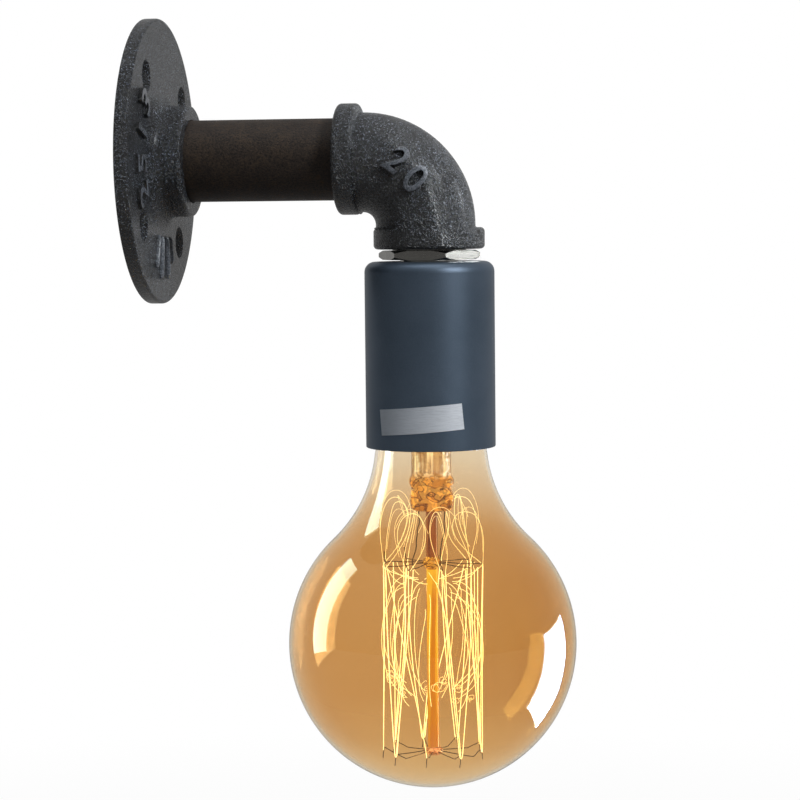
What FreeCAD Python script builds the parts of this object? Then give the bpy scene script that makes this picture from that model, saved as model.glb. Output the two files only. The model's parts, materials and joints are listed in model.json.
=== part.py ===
import FreeCAD, Part
import math
import os

# Industrial pipe wall light, in millimetres.
# X runs out of the wall along the pipe, Z is up, and the origin is the centre of the
# flange's back face, on the pipe's axis. The lamp hangs on a vertical axis at lamp_x.

# ---------------------------------------------------------------- driving sizes
lamp_x = 93.3                 # wall to the lamp's axis

flange_r = 47.0
flange_rim = 4.5              # thickness of the plate
flange_edge = 0.9             # rounding of the plate's rim
hub_r = 18.3
hub_front = 14.5              # wall to the hub's front face
hub_blend = 4.5               # concave radius between plate and hub
hub_edge = 1.0
screw_circle_r = 34.0
screw_count = 4
screw_turn = 37.4             # first hole's angle from +Y towards +Z, in degrees
screw_hole_r = 2.8
screw_sink_r = 5.4            # countersink at the plate's front

pipe_r = 13.45                # 3/4 inch pipe
pipe_bore_r = 10.5
pipe_wall_gap = 2.6           # wall to the pipe's back end
pipe_thread_pitch = 1.814     # 14 threads to the inch
pipe_thread_root = 12.1
pipe_thread_crest = 13.22
pipe_thread_clearance = 0.25  # radial room between a male and a female pipe thread
pipe_thread_relief = 0.3      # plain groove before the pipe's first thread
mouth_room = 0.35             # room round the full pipe at a fitting's mouth
mouth_depth = 1.5             # a fitting's face to its first thread
thread_clearance = 0.15       # the same for the finer threads of the lampholder

elbow_reach = 29.6            # lamp axis to the elbow's face, alike on both legs
elbow_bend_r = 21.6           # body's bend
elbow_bore_bend_r = 19.4
elbow_offset = 1.1            # body's axis inside the bore's: the crotch is thicker
elbow_body_r = 16.3
elbow_bore_r = 11.4
band_r = 18.2
band_width = 7.0
band_edge = 1.4
band_root = 0.6               # concave radius where the band meets the body
elbow_thread = 9.8            # depth of the thread in each leg
pipe_insertion = 9.9          # how far the pipe goes into the elbow

hex_flats = 29.4
hex_turn = -3.8               # angle of one corner from +X, in degrees
hex_thick = 3.0
hex_chamfer = 0.9
bush_gap = 0.4                # elbow's face to the hexagon
bush_length = 8.2             # threaded part above the hexagon
cover_washer_r = 9.5
cover_washer_thick = 0.6

tube_r = 5.0                  # M10 hollow screw
tube_root = 4.4
tube_bore_r = 3.9
tube_pitch = 1.0
tube_above_bush = 4.2
locknut_flats = 14.0
locknut_thick = 2.6
tag_thick = 0.6
tag_r = 7.6
tag_barrel_r = 1.75
tag_barrel_length = 3.6
tag_barrel_x = 9.2            # barrel's distance from the lamp's axis
tag_barrel_rise = 1.6         # bush to the barrel's lower end
tag_floor = 0.8               # barrel's floor

cover_r = 21.3
cover_height = 60.8
cover_wall = 1.0
cover_shoulder = 3.4
cover_lip = 0.35
star_washer_thick = 0.7
star_washer_r = 8.0
star_teeth = 12
label_width = 27.0
label_height = 8.4
label_thick = 0.15
label_tilt = 4.6              # degrees, right end up
label_turn = -2.0             # degrees round the cover from -Y towards +X
label_up = 10.2               # label's centre above the cover's lower edge

holder_r = 19.2
holder_boss_r = 8.2
holder_boss_length = 4.6
holder_boss_gap = 0.3         # locknut to the boss
holder_wall = 1.9
holder_cap_height = 19.3      # boss top to the cap's lower edge
holder_dome = 4.0
holder_top_drop = 3.4         # boss top to the cap's flat top
holder_join_pitch = 2.5
holder_join_crest = 17.2
holder_join_root = 16.5
holder_join_length = 7.0
holder_inner_r = 15.3
skirt_inner_r = 14.75
grub_r = 1.2
grub_length = 4.2
grub_drop = 1.8               # boss top to the grub screw's axis
core_r = 15.1
core_thick = 5.5
core_drop = 18.3              # boss top to the core's top
block_length = 7.0
block_width = 6.0
block_height = 4.6
block_out = 8.5               # block's centre from the lamp's axis
clamp_screw_r = 1.3
clamp_head_r = 2.0
clamp_head_thick = 1.2
shell_plate_r = 10.0          # inner radius of the screw shell's end plate
shell_wall = 0.5
rivet_r = 1.0
rivet_head_r = 1.5
rivet_head_thick = 0.5
shell_rivet_out = 11.6
leaf_rivet_out = 6.6
leaf_width = 6.0
leaf_thick = 0.4
leaf_reach = 3.4              # leaf's free end beyond the axis

lead_r = 1.2
lead_pitch_r = 1.56           # leads' distance from the bundle's axis
lead_core_r = 0.75
lead_strip = 3.8
lead_fan_drop = 8.2           # height over which the leads fan out to the blocks
ferrule_r = 1.35
ferrule_length = 7.0
ferrule_wall_gap = 1.2        # wall to the ferrules' ends

thread_pitch = 3.629          # E27: seven threads to the inch
cap_crest_r = 13.1
cap_root_r = 12.1
cap_bore_r = 11.65
cap_crest_width = 0.9
cap_root_width = 2.1
shell_root_r = 13.4
shell_crest_r = 12.4
shell_crest_width = 0.7
shell_root_width = 1.7
cap_length = 22.5             # metal shell
cap_thread_turns = 4.5
cap_thread_lead_in = 3.0      # cap's rim to the middle of its first thread
shell_thread_turns = 5.0
insulator_height = 3.0
insulator_top_r = 5.6
contact_r = 4.7
contact_height = 1.5
contact_gap = 0.3             # bulb's tip to the spring leaf
rim_gap = 0.6                 # glass shoulder to the holder's lower edge

globe_r = 47.5
globe_drop = 68.9             # cap's rim to the globe's centre
neck_r = 18.2
neck_shoulder = 4.6
neck_blend = 46.0             # concave radius between neck and globe
glass_wall = 0.9
throat_r = 11.2               # glass inside the cap
throat_length = 9.0
stem_r = 6.6
stem_wall = 1.1
stem_flare_r = 10.1
stem_flare_height = 3.0
pinch_top_drop = 14.0         # cap's rim to the top of the pinch
pinch_height = 11.5
pinch_width = 13.4
pinch_depth = 5.4
rod_r = 2.0
rod_foot_gap = 9.1            # rod's lower end to the inside of the glass below it
rod_drop = globe_drop + globe_r - glass_wall - rod_foot_gap  # cap's rim to the rod's lower end
upper_button_r = 3.2
upper_button_height = 4.2
lower_button_r = 3.3
lower_button_height = 2.6
seal_gap = 0.02               # glass to what is sealed in it
support_sunk = 1.0            # how far a support goes into its button
upper_drop = 42.4             # cap's rim to the upper supports
lower_rise = 1.2              # rod's lower end to the lower supports
lower_drop = rod_drop - lower_rise  # cap's rim to the lower supports
support_ring_r = 16.2
support_r = 0.22
support_count = 9
hook_rise = 3.0
filament_r = 0.22
filament_bend = 0.9           # filament's bend round a lower hook
petal_rise = 21.0             # filament's loops above the upper supports
petal_inner_r = 10.6
petal_half_turn = 9.0         # half a loop's spread round the axis, in degrees
filament_clear = 0.75         # filament's centre line to a support's
lead_in_r = 0.35
lead_in_out = 4.3
lead_in_clear = 0.95          # lead-in wire to the filament's end, level with it

# ---------------------------------------------------------------- heights that follow
elbow_face_z = -elbow_reach
hex_top = elbow_face_z - bush_gap
hex_bottom = hex_top - hex_thick
cover_top = hex_bottom - cover_washer_thick
cover_bottom = cover_top - cover_height
star_top = cover_top - cover_wall
nut_top = star_top - star_washer_thick
nut_bottom = nut_top - locknut_thick
boss_top = nut_bottom - holder_boss_gap
boss_bottom = boss_top - holder_boss_length
holder_cap_bottom = boss_top - holder_cap_height
core_top = boss_top - core_drop
core_bottom = core_top - core_thick
leaf_bottom = core_bottom - 2 * leaf_thick - rivet_head_thick
tip_top = leaf_bottom - contact_gap
insulator_top = tip_top - contact_height
cap_top = insulator_top - insulator_height
cap_rim = cap_top - cap_length
skirt_bottom = cap_rim + rim_gap
globe_z = cap_rim - globe_drop
pinch_top = cap_rim - pinch_top_drop
pinch_bottom = pinch_top - pinch_height
upper_z = cap_rim - upper_drop
lower_z = cap_rim - lower_drop
bush_top = hex_top + bush_length
tube_top = bush_top + tube_above_bush
elbow_face_x = lamp_x - elbow_reach
pipe_end_x = elbow_face_x + pipe_insertion

OUT = "parts"
X_AXIS = FreeCAD.Vector(1, 0, 0)
Z_AXIS = FreeCAD.Vector(0, 0, 1)
ORIGIN = FreeCAD.Vector(0, 0, 0)
LAMP = FreeCAD.Vector(lamp_x, 0, 0)


# ---------------------------------------------------------------- shared shapes
def rounded_edges(corners, closed):
    """Straight runs joined by tangent arcs. Each corner is (point, radius)."""
    count = len(corners)
    edges = []
    first = last = None
    for i, (point, radius) in enumerate(corners):
        if radius == 0 or (not closed and i in (0, count - 1)):
            start = end = point
            arc = None
        else:
            back = (corners[i - 1][0] - point).normalize()
            ahead = (corners[(i + 1) % count][0] - point).normalize()
            half = back.getAngle(ahead) / 2
            middle = (back + ahead).normalize()
            start = point + back * (radius / math.tan(half))
            end = point + ahead * (radius / math.tan(half))
            arc = Part.Arc(start, point + middle * (radius / math.sin(half) - radius), end).toShape()
        if last is not None and last.distanceToPoint(start) > 1e-6:
            edges.append(Part.makeLine(last, start))
        if arc is not None:
            edges.append(arc)
        if first is None:
            first = start
        last = end
    if closed and last.distanceToPoint(first) > 1e-6:
        edges.append(Part.makeLine(last, first))
    return edges


def turned_on_pipe(outline):
    """Turns (x, r) or (x, r, corner radius) points about the pipe's axis."""
    corners = [(FreeCAD.Vector(p[0], 0, p[1]), p[2] if len(p) > 2 else 0) for p in outline]
    return Part.Face(Part.Wire(rounded_edges(corners, True))).revolve(ORIGIN, X_AXIS, 360)


def turned_on_lamp(outline):
    """Turns (r, z) or (r, z, corner radius) points about the lamp's axis."""
    corners = [(FreeCAD.Vector(lamp_x + p[0], 0, p[1]), p[2] if len(p) > 2 else 0) for p in outline]
    return Part.Face(Part.Wire(rounded_edges(corners, True))).revolve(LAMP, Z_AXIS, 360)


def thread_rings(start, end, pitch, root, crest):
    """Outline of a thread drawn as rings: (position, radius) points from start towards end."""
    step = math.copysign(pitch, end - start)
    points = []
    for i in range(int(abs(end - start) / pitch)):
        at = start + i * step
        points += [(at, root), (at + step * 0.4, crest), (at + step * 0.52, crest), (at + step * 0.92, root)]
    return points


def swap(points):
    return [(r, z) for z, r in points]


def swept(corners, radius):
    """A round tube along straight runs joined by tangent arcs."""
    edges = rounded_edges(corners, False)
    path = Part.Wire(edges)
    way = edges[0].tangentAt(edges[0].FirstParameter)
    ring = Part.Wire(Part.makeCircle(radius, corners[0][0], way))
    return path.makePipeShell([ring], True, False)


def hexagon(flats, bottom, top, turn=0.0):
    corner_r = flats / 2 / math.cos(math.pi / 6)
    corners = []
    for i in range(7):
        angle = math.radians(turn + 60 * i)
        corners.append(FreeCAD.Vector(lamp_x + corner_r * math.cos(angle), corner_r * math.sin(angle), bottom))
    return Part.Face(Part.makePolygon(corners)).extrude(FreeCAD.Vector(0, 0, top - bottom))


def disc(radius, bottom, top):
    return Part.makeCylinder(radius, top - bottom, FreeCAD.Vector(lamp_x, 0, bottom))


def ring(inner, outer, bottom, top):
    return disc(outer, bottom, top).cut(disc(inner, bottom, top))


def around_lamp(radius, angle, z):
    """A point at a radius, an angle in degrees from +X and a height."""
    turn = math.radians(angle)
    return FreeCAD.Vector(lamp_x + radius * math.cos(turn), radius * math.sin(turn), z)


def block(size_x, size_y, bottom, top, centre_x=0.0, centre_y=0.0):
    corner = FreeCAD.Vector(lamp_x + centre_x - size_x / 2, centre_y - size_y / 2, bottom)
    return Part.makeBox(size_x, size_y, top - bottom, corner)


def screw_ridge(lowest, turns, base_r, crest_r, base_width, crest_width):
    """A right-hand helical ridge on the lamp's axis, starting at the height lowest."""
    helix = Part.makeHelix(thread_pitch, thread_pitch * turns, base_r)
    profile = Part.makePolygon([
        FreeCAD.Vector(base_r, 0, -base_width / 2),
        FreeCAD.Vector(crest_r, 0, -crest_width / 2),
        FreeCAD.Vector(crest_r, 0, crest_width / 2),
        FreeCAD.Vector(base_r, 0, base_width / 2),
        FreeCAD.Vector(base_r, 0, -base_width / 2),
    ])
    ridge = Part.Wire(helix).makePipeShell([profile], True, True)
    ridge.translate(FreeCAD.Vector(lamp_x, 0, lowest))
    return ridge


def group(solids):
    return Part.makeCompound(solids)


# ---------------------------------------------------------------- wall side
def make_wall_flange():
    """Cast floor flange: plate, blended hub, threaded bore and countersunk screw holes."""
    bore = [(x, r + pipe_thread_clearance) for x, r in thread_rings(
        hub_front - mouth_depth, 0, pipe_thread_pitch, pipe_thread_root, pipe_thread_crest)]
    back_r = bore[-1][1]
    body = turned_on_pipe([
        (0, back_r),
        (0, flange_r, flange_edge / 2),
        (flange_rim, flange_r, flange_edge),
        (flange_rim, hub_r, hub_blend),
        (hub_front, hub_r, hub_edge),
        (hub_front, pipe_r + mouth_room),
        (hub_front - mouth_depth, pipe_r + mouth_room),
    ] + bore)
    for i in range(screw_count):
        turn = math.radians(screw_turn + 360 / screw_count * i)
        centre = FreeCAD.Vector(0, screw_circle_r * math.cos(turn), screw_circle_r * math.sin(turn))
        hole = Part.makeCylinder(screw_hole_r, flange_rim, centre, X_AXIS)
        sink_depth = screw_sink_r - screw_hole_r
        sink = Part.makeCone(screw_hole_r, screw_sink_r, sink_depth,
                             centre + X_AXIS * (flange_rim - sink_depth), X_AXIS)
        body = body.cut(hole).cut(sink)
    return body


def make_pipe_nipple():
    """Steel pipe with a thread cut on each end."""
    back_start = hub_front - mouth_depth
    front_start = elbow_face_x + mouth_depth
    relief = pipe_thread_relief
    back = thread_rings(back_start, pipe_wall_gap, pipe_thread_pitch, pipe_thread_root, pipe_thread_crest)
    front = thread_rings(front_start, pipe_end_x, pipe_thread_pitch, pipe_thread_root, pipe_thread_crest)
    return turned_on_pipe(
        [(pipe_wall_gap, pipe_bore_r), (pipe_wall_gap, back[-1][1])]
        + back[::-1]
        + [(back_start + relief, pipe_thread_root), (back_start + 2 * relief, pipe_r)]
        + [(front_start - 2 * relief, pipe_r), (front_start - relief, pipe_thread_root)]
        + front
        + [(pipe_end_x, front[-1][1]), (pipe_end_x, pipe_bore_r)]
    )


# ---------------------------------------------------------------- elbow and bush
def elbow_leg_outline(face, inward):
    """(position, radius) points of one leg's body, from inside its band to the bend."""
    bend = face + inward * (elbow_reach - elbow_bend_r)
    shoulder = face + inward * band_width
    sunk = shoulder - inward * 1.0
    return [(sunk, 0, 0), (sunk, elbow_body_r, 0), (shoulder, elbow_body_r + band_root + 0.05, 0),
            (shoulder, elbow_body_r, band_root), (bend, elbow_body_r, 0), (bend, 0, 0)]


def elbow_band_outline(face, inward):
    shoulder = face + inward * band_width
    return [(face, 0, 0), (face, band_r, band_edge), (shoulder, band_r, band_edge), (shoulder, 0, 0)]


def elbow_bore_outline(face, inward):
    """(position, radius) points of the threaded bore in one leg."""
    mouth = face + inward * mouth_depth
    bend = face + inward * (elbow_reach - elbow_bore_bend_r)
    rings = [(s, r + pipe_thread_clearance) for s, r in thread_rings(
        mouth, face + inward * elbow_thread, pipe_thread_pitch, pipe_thread_root, pipe_thread_crest)]
    return ([(face, 0), (face, pipe_r + mouth_room), (mouth, pipe_r + mouth_room)] + rings
            + [(bend, rings[-1][1]), (bend, 0)])


def elbow_bend(radius, bend_r, offset=0.0):
    centre = FreeCAD.Vector(lamp_x - bend_r, 0, -bend_r)
    start = FreeCAD.Vector(centre.x, 0, -offset)
    profile = Part.Face(Part.Wire(Part.makeCircle(radius, start, X_AXIS)))
    return profile.revolve(centre, FreeCAD.Vector(0, 1, 0), 90)


def make_pipe_elbow():
    """Cast elbow: two banded legs, the bend between them and a bore all the way through."""
    upper_leg = turned_on_pipe(elbow_leg_outline(elbow_face_x, 1))
    upper_leg.translate(FreeCAD.Vector(0, 0, -elbow_offset))
    lower_leg = turned_on_lamp([(r, s, corner) for s, r, corner in elbow_leg_outline(elbow_face_z, 1)])
    lower_leg.translate(FreeCAD.Vector(-elbow_offset, 0, 0))
    upper_band = turned_on_pipe(elbow_band_outline(elbow_face_x, 1))
    lower_band = turned_on_lamp([(r, s, corner) for s, r, corner in elbow_band_outline(elbow_face_z, 1)])
    body = elbow_bend(elbow_body_r, elbow_bend_r, elbow_offset)
    body = body.fuse([upper_leg, lower_leg, upper_band, lower_band])
    bore = turned_on_pipe(elbow_bore_outline(elbow_face_x, 1))
    bore = bore.fuse([elbow_bend(elbow_bore_r, elbow_bore_bend_r),
                      turned_on_lamp(swap(elbow_bore_outline(elbow_face_z, 1)))])
    return body.cut(bore).removeSplitter()


def make_reducing_bush():
    """Hexagon-headed bush from the pipe thread down to the hollow screw."""
    corner_r = hex_flats / 2 / math.cos(math.pi / 6)
    blank = turned_on_lamp([
        (0, hex_bottom),
        (corner_r - 2 * hex_chamfer, hex_bottom),
        (corner_r, hex_bottom + hex_chamfer),
        (corner_r, hex_top - hex_chamfer),
        (corner_r - 2 * hex_chamfer, hex_top),
        (0, hex_top),
    ])
    head = blank.common(hexagon(hex_flats, hex_bottom, hex_top, hex_turn))
    rings = thread_rings(elbow_face_z + mouth_depth, bush_top, pipe_thread_pitch, pipe_thread_root, pipe_thread_crest)
    stub = turned_on_lamp([(0, hex_top - hex_thick / 2), (pipe_thread_root, hex_top - hex_thick / 2)]
                          + swap(rings) + [(rings[-1][1], bush_top), (0, bush_top)])
    return head.fuse(stub).cut(tube_bore(hex_bottom, bush_top)).removeSplitter()


def tube_bore(bottom, top):
    """The tool that cuts a female thread for the hollow screw."""
    turns = math.floor((tube_top - top) / tube_pitch)
    start = tube_top - turns * tube_pitch
    rings = [(z, r + thread_clearance) for z, r in thread_rings(
        start, bottom - tube_pitch, tube_pitch, tube_root, tube_r)]
    tool = turned_on_lamp([(0, start)] + swap(rings) + [(0, rings[-1][0])])
    return tool


def make_threaded_tube():
    """Hollow M10 screw that carries the cover and the lampholder."""
    rings = thread_rings(tube_top, boss_bottom + 0.4, tube_pitch, tube_root, tube_r)
    end = rings[-1][0]
    return turned_on_lamp([(tube_bore_r, tube_top)] + swap(rings) + [(tube_bore_r, end)])


def locknut(bottom, top, turn=0.0):
    corner_r = locknut_flats / 2 / math.cos(math.pi / 6)
    blank = turned_on_lamp([(0, bottom), (corner_r - 0.8, bottom), (corner_r, bottom + 0.5),
                            (corner_r, top - 0.5), (corner_r - 0.8, top), (0, top)])
    return blank.common(hexagon(locknut_flats, bottom, top, turn)).cut(tube_bore(bottom, top))


def make_earth_tag():
    """Ring tag clamped on top of the bush, with a crimped barrel for the earth lead."""
    plate = ring(tube_r + 0.2, tag_r, bush_top, bush_top + tag_thick)
    tail = block(3.0, 3.4, bush_top, bush_top + tag_thick, tag_barrel_x - 0.8)
    barrel_bottom = bush_top + tag_barrel_rise
    web = block(0.8, 2.4, bush_top, barrel_bottom + 0.6, tag_barrel_x)
    axis = FreeCAD.Vector(lamp_x + tag_barrel_x, 0, barrel_bottom)
    barrel = Part.makeCylinder(tag_barrel_r, tag_barrel_length, axis)
    hollow = Part.makeCylinder(lead_r + 0.05, tag_barrel_length - tag_floor, axis + Z_AXIS * tag_floor)
    return plate.fuse([tail, web, barrel]).cut(hollow).removeSplitter()


# ---------------------------------------------------------------- cover and lampholder
def make_lamp_cover():
    """Painted steel cup over the lampholder, open below."""
    return turned_on_lamp([
        (tube_r + 0.2, cover_top),
        (cover_r, cover_top, cover_shoulder),
        (cover_r, cover_bottom, cover_lip),
        (cover_r - cover_wall, cover_bottom, cover_lip),
        (cover_r - cover_wall, cover_top - cover_wall, cover_shoulder - cover_wall),
        (tube_r + 0.2, cover_top - cover_wall),
    ])


def make_star_washer():
    """Toothed lock washer under the cover's top."""
    bottom = star_top - star_washer_thick
    body = ring(tube_r + 0.2, star_washer_r - 1.2, bottom, star_top)
    teeth = []
    for i in range(star_teeth):
        tooth = block(2.2, 1.6, bottom, star_top, star_washer_r - 1.1)
        tooth.rotate(LAMP, Z_AXIS, 360 / star_teeth * i)
        teeth.append(tooth)
    return body.fuse(teeth).removeSplitter()


def make_rating_label():
    """Blank foil label that wraps round the cover."""
    shell = ring(cover_r + seal_gap, cover_r + label_thick, cover_bottom, cover_top)
    corner = FreeCAD.Vector(lamp_x - label_width / 2, -cover_r - 2, cover_bottom + label_up - label_height / 2)
    plate = Part.makeBox(label_width, cover_r, label_height, corner)
    middle = FreeCAD.Vector(lamp_x, 0, cover_bottom + label_up)
    plate.rotate(middle, FreeCAD.Vector(0, 1, 0), -label_tilt)
    plate.rotate(middle, Z_AXIS, label_turn)
    return shell.common(plate)


def make_holder_cap():
    """Moulded cap of the lampholder, screwed on the hollow screw."""
    inner_r = holder_join_crest + thread_clearance
    join = [(z, r + thread_clearance) for z, r in thread_rings(
        holder_cap_bottom, holder_cap_bottom + holder_join_length,
        holder_join_pitch, holder_join_root, holder_join_crest)]
    dome_z = boss_top - holder_top_drop
    body = turned_on_lamp([
        (0, boss_top),
        (holder_boss_r, boss_top, 0.6),
        (holder_boss_r, dome_z, 0.4),
        (holder_r, dome_z, holder_dome),
        (holder_r, holder_cap_bottom, 0.3),
        (inner_r, holder_cap_bottom),
    ] + swap(join) + [
        (inner_r, holder_cap_bottom + holder_join_length),
        (inner_r, dome_z - holder_wall, holder_dome - 1.0),
        (tube_r + 3.0, dome_z - holder_wall),
        (tube_r + 2.2, boss_bottom),
        (0, boss_bottom),
    ])
    grub_hole = Part.makeCylinder(grub_r + 0.05, holder_r,
                                  FreeCAD.Vector(lamp_x, 0, boss_top - grub_drop), X_AXIS)
    return body.cut(tube_bore(boss_bottom, boss_top)).cut(grub_hole)


def make_grub_screw():
    """Slotted screw that locks the holder's cap to the hollow screw."""
    z = boss_top - grub_drop
    start = FreeCAD.Vector(lamp_x + tube_r + thread_clearance, 0, z)
    body = Part.makeCylinder(grub_r, grub_length, start, X_AXIS)
    slot = Part.makeBox(0.8, 2 * grub_r, 0.5,
                        FreeCAD.Vector(start.x + grub_length - 0.8, -grub_r, z - 0.25))
    return body.cut(slot)


def make_holder_skirt():
    """Moulded sleeve round the screw shell, screwed into the cap."""
    neck_top = holder_cap_bottom + holder_join_length - 0.4
    join = thread_rings(holder_cap_bottom, neck_top, holder_join_pitch, holder_join_root, holder_join_crest)
    ledge = core_bottom - 0.05
    return turned_on_lamp([
        (skirt_inner_r, skirt_bottom, 0.4),
        (holder_r, skirt_bottom, 0.8),
        (holder_r, holder_cap_bottom - 0.15, 0.3),
        (holder_join_root, holder_cap_bottom - 0.15),
    ] + swap(join) + [
        (holder_join_root, neck_top),
        (holder_inner_r, neck_top),
        (holder_inner_r, ledge),
        (skirt_inner_r, ledge),
    ])


def rivet_places():
    """(x, y) of each rivet from the lamp's axis: the leaf's, then the shell plate's three."""
    turns = [math.radians(angle) for angle in (90, 210, 330)]
    return [(0, -leaf_rivet_out)] + [(shell_rivet_out * math.cos(t), shell_rivet_out * math.sin(t)) for t in turns]


def make_holder_core():
    """Insulating block between the terminals and the contacts, with a wall between the poles."""
    body = disc(core_r, core_bottom, core_top)
    wall = block(24.0, 1.6, core_top, core_top + 2.6)
    body = body.fuse(wall)
    for x, y in rivet_places():
        hole = Part.makeCylinder(rivet_r + 0.05, core_thick, FreeCAD.Vector(lamp_x + x, y, core_bottom))
        sink = Part.makeCylinder(rivet_head_r + 0.1, rivet_head_thick + 0.1,
                                 FreeCAD.Vector(lamp_x + x, y, core_top - rivet_head_thick - 0.1))
        body = body.cut(hole).cut(sink)
    return body


def make_core_rivets():
    """Rivets that hold the leaf and the screw shell under the core."""
    solids = []
    below = [core_bottom - leaf_thick] + 3 * [core_bottom - shell_wall]
    for (x, y), plate_bottom in zip(rivet_places(), below):
        head_top = core_top - 0.05
        shank = Part.makeCylinder(rivet_r, head_top - plate_bottom, FreeCAD.Vector(lamp_x + x, y, plate_bottom))
        head = Part.makeCylinder(rivet_head_r, rivet_head_thick,
                                 FreeCAD.Vector(lamp_x + x, y, head_top - rivet_head_thick))
        foot = Part.makeCylinder(rivet_head_r, rivet_head_thick,
                                 FreeCAD.Vector(lamp_x + x, y, plate_bottom - rivet_head_thick))
        solids.append(shank.fuse([head, foot]).removeSplitter())
    return group(solids)


def make_terminal_blocks():
    """Two brass blocks with a wire hole from above and a clamp screw's hole from outside."""
    solids = []
    for side in (-1, 1):
        body = block(block_width, block_length, core_top, core_top + block_height, 0, side * block_out)
        wire = Part.makeCylinder(lead_core_r + 0.15, block_height,
                                 FreeCAD.Vector(lamp_x, side * block_out, core_top + 0.8))
        mouth = FreeCAD.Vector(lamp_x, side * block_out, core_top + block_height / 2)
        screw = Part.makeCylinder(clamp_screw_r + 0.05, block_length / 2, mouth, FreeCAD.Vector(0, side, 0))
        solids.append(body.cut(wire).cut(screw))
    return group(solids)


def make_clamp_screws():
    """The blocks' slotted clamp screws."""
    solids = []
    for side in (-1, 1):
        way = FreeCAD.Vector(0, side, 0)
        tip = FreeCAD.Vector(lamp_x, side * (block_out + lead_core_r + 0.05), core_top + block_height / 2)
        face_y = block_out + block_length / 2
        reach = face_y - block_out - lead_core_r - 0.05
        head_at = FreeCAD.Vector(lamp_x, side * face_y, tip.z)
        shank = Part.makeCylinder(clamp_screw_r, reach, tip, way)
        head = Part.makeCylinder(clamp_head_r, clamp_head_thick, head_at, way)
        slot_y = min(side * (face_y + clamp_head_thick - 0.5), side * (face_y + clamp_head_thick))
        slot = Part.makeBox(2 * clamp_head_r, 0.5, 0.6,
                            FreeCAD.Vector(lamp_x - clamp_head_r, slot_y, tip.z - 0.3))
        solids.append(shank.fuse(head).cut(slot).removeSplitter())
    return group(solids)


def make_centre_contact():
    """Spring leaf that presses on the bulb's tip, riveted on one side of the core."""
    start = -leaf_rivet_out - 2.4
    points = [(start, core_bottom), (-leaf_rivet_out + 2.4, core_bottom),
              (-0.6, leaf_bottom + leaf_thick), (leaf_reach, leaf_bottom + leaf_thick)]
    outline = [FreeCAD.Vector(lamp_x - leaf_width / 2, y, z) for y, z in points]
    under = [p - Z_AXIS * leaf_thick for p in reversed(outline)]
    strip = Part.Face(Part.makePolygon(outline + under + [outline[0]])).extrude(X_AXIS * leaf_width)
    hole = Part.makeCylinder(rivet_r + 0.05, 3 * leaf_thick,
                             FreeCAD.Vector(lamp_x, -leaf_rivet_out, core_bottom - 2 * leaf_thick))
    return strip.cut(hole)


def make_screw_shell():
    """Brass shell with the female E27 thread, hung from an end plate under the core."""
    plate_bottom = core_bottom - shell_wall
    outer = shell_root_r + shell_wall
    body = turned_on_lamp([
        (shell_plate_r, core_bottom),
        (outer, core_bottom, 0.4),
        (outer, skirt_bottom + 0.3),
        (shell_root_r, skirt_bottom + 0.3),
        (shell_root_r, plate_bottom),
        (shell_plate_r, plate_bottom),
    ])
    ridge = screw_ridge(thread_start() + thread_pitch / 2 - thread_pitch, shell_thread_turns,
                        shell_root_r + 0.12, shell_crest_r, shell_root_width, shell_crest_width)
    body = body.fuse(ridge)
    for x, y in rivet_places()[1:]:
        body = body.cut(Part.makeCylinder(rivet_r + 0.05, 3 * shell_wall,
                                          FreeCAD.Vector(lamp_x + x, y, core_bottom - 2 * shell_wall)))
    return body


def thread_start():
    """Height of the middle of the cap's lowest thread."""
    return cap_rim + cap_thread_lead_in


# ---------------------------------------------------------------- wiring held inside the pipe
def bundle_place(index):
    """(y, z) of one of the three leads round the pipe's axis; 0 is the earth lead, on top."""
    turn = math.radians(90 + 120 * index)
    return lead_pitch_r * math.cos(turn), lead_pitch_r * math.sin(turn)


def lead_start_x():
    return ferrule_wall_gap + ferrule_length


def make_supply_lead(index):
    """Insulated lead from the flange through the elbow and the hollow screw to its block."""
    y, z = bundle_place(index)
    side = math.copysign(1, y)
    block_top = core_top + block_height
    fan_bottom = block_top + 1.6
    corners = [
        (FreeCAD.Vector(lead_start_x(), y, z), 0),
        (FreeCAD.Vector(lamp_x + z, y, z), elbow_bore_bend_r + z),
        (FreeCAD.Vector(lamp_x + z, y, fan_bottom + lead_fan_drop), 3.6),
        (FreeCAD.Vector(lamp_x, side * block_out, fan_bottom), 3.6),
        (FreeCAD.Vector(lamp_x, side * block_out, block_top + 0.2), 0),
    ]
    return swept(corners, lead_r)


def make_earth_lead():
    """Earth lead from the flange to the tag's barrel inside the elbow."""
    y, z = bundle_place(0)
    barrel_bottom = bush_top + tag_barrel_rise
    bend = z - (barrel_bottom + tag_barrel_length) - 0.2
    corners = [
        (FreeCAD.Vector(lead_start_x(), y, z), 0),
        (FreeCAD.Vector(lamp_x + tag_barrel_x, y, z), bend),
        (FreeCAD.Vector(lamp_x + tag_barrel_x, y, barrel_bottom + tag_floor), 0),
    ]
    return swept(corners, lead_r)


def make_lead_ferrules():
    """Crimped tips of the three leads, just inside the flange's back opening."""
    solids = []
    for index in range(3):
        y, z = bundle_place(index)
        tip = Part.makeCylinder(ferrule_r * 0.62, ferrule_length - 1.8,
                                FreeCAD.Vector(ferrule_wall_gap, y, z), X_AXIS)
        collar = Part.makeCone(ferrule_r * 0.62, ferrule_r, 1.8,
                               FreeCAD.Vector(ferrule_wall_gap + ferrule_length - 1.8, y, z), X_AXIS)
        solids.append(tip.fuse(collar))
    return group(solids)


def make_lead_cores():
    """Bare ends of the live and neutral leads in their blocks."""
    top = core_top + block_height + 0.2
    return group([
        Part.makeCylinder(lead_core_r, lead_strip, FreeCAD.Vector(lamp_x, side * block_out, top - lead_strip))
        for side in (-1, 1)
    ])


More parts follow.
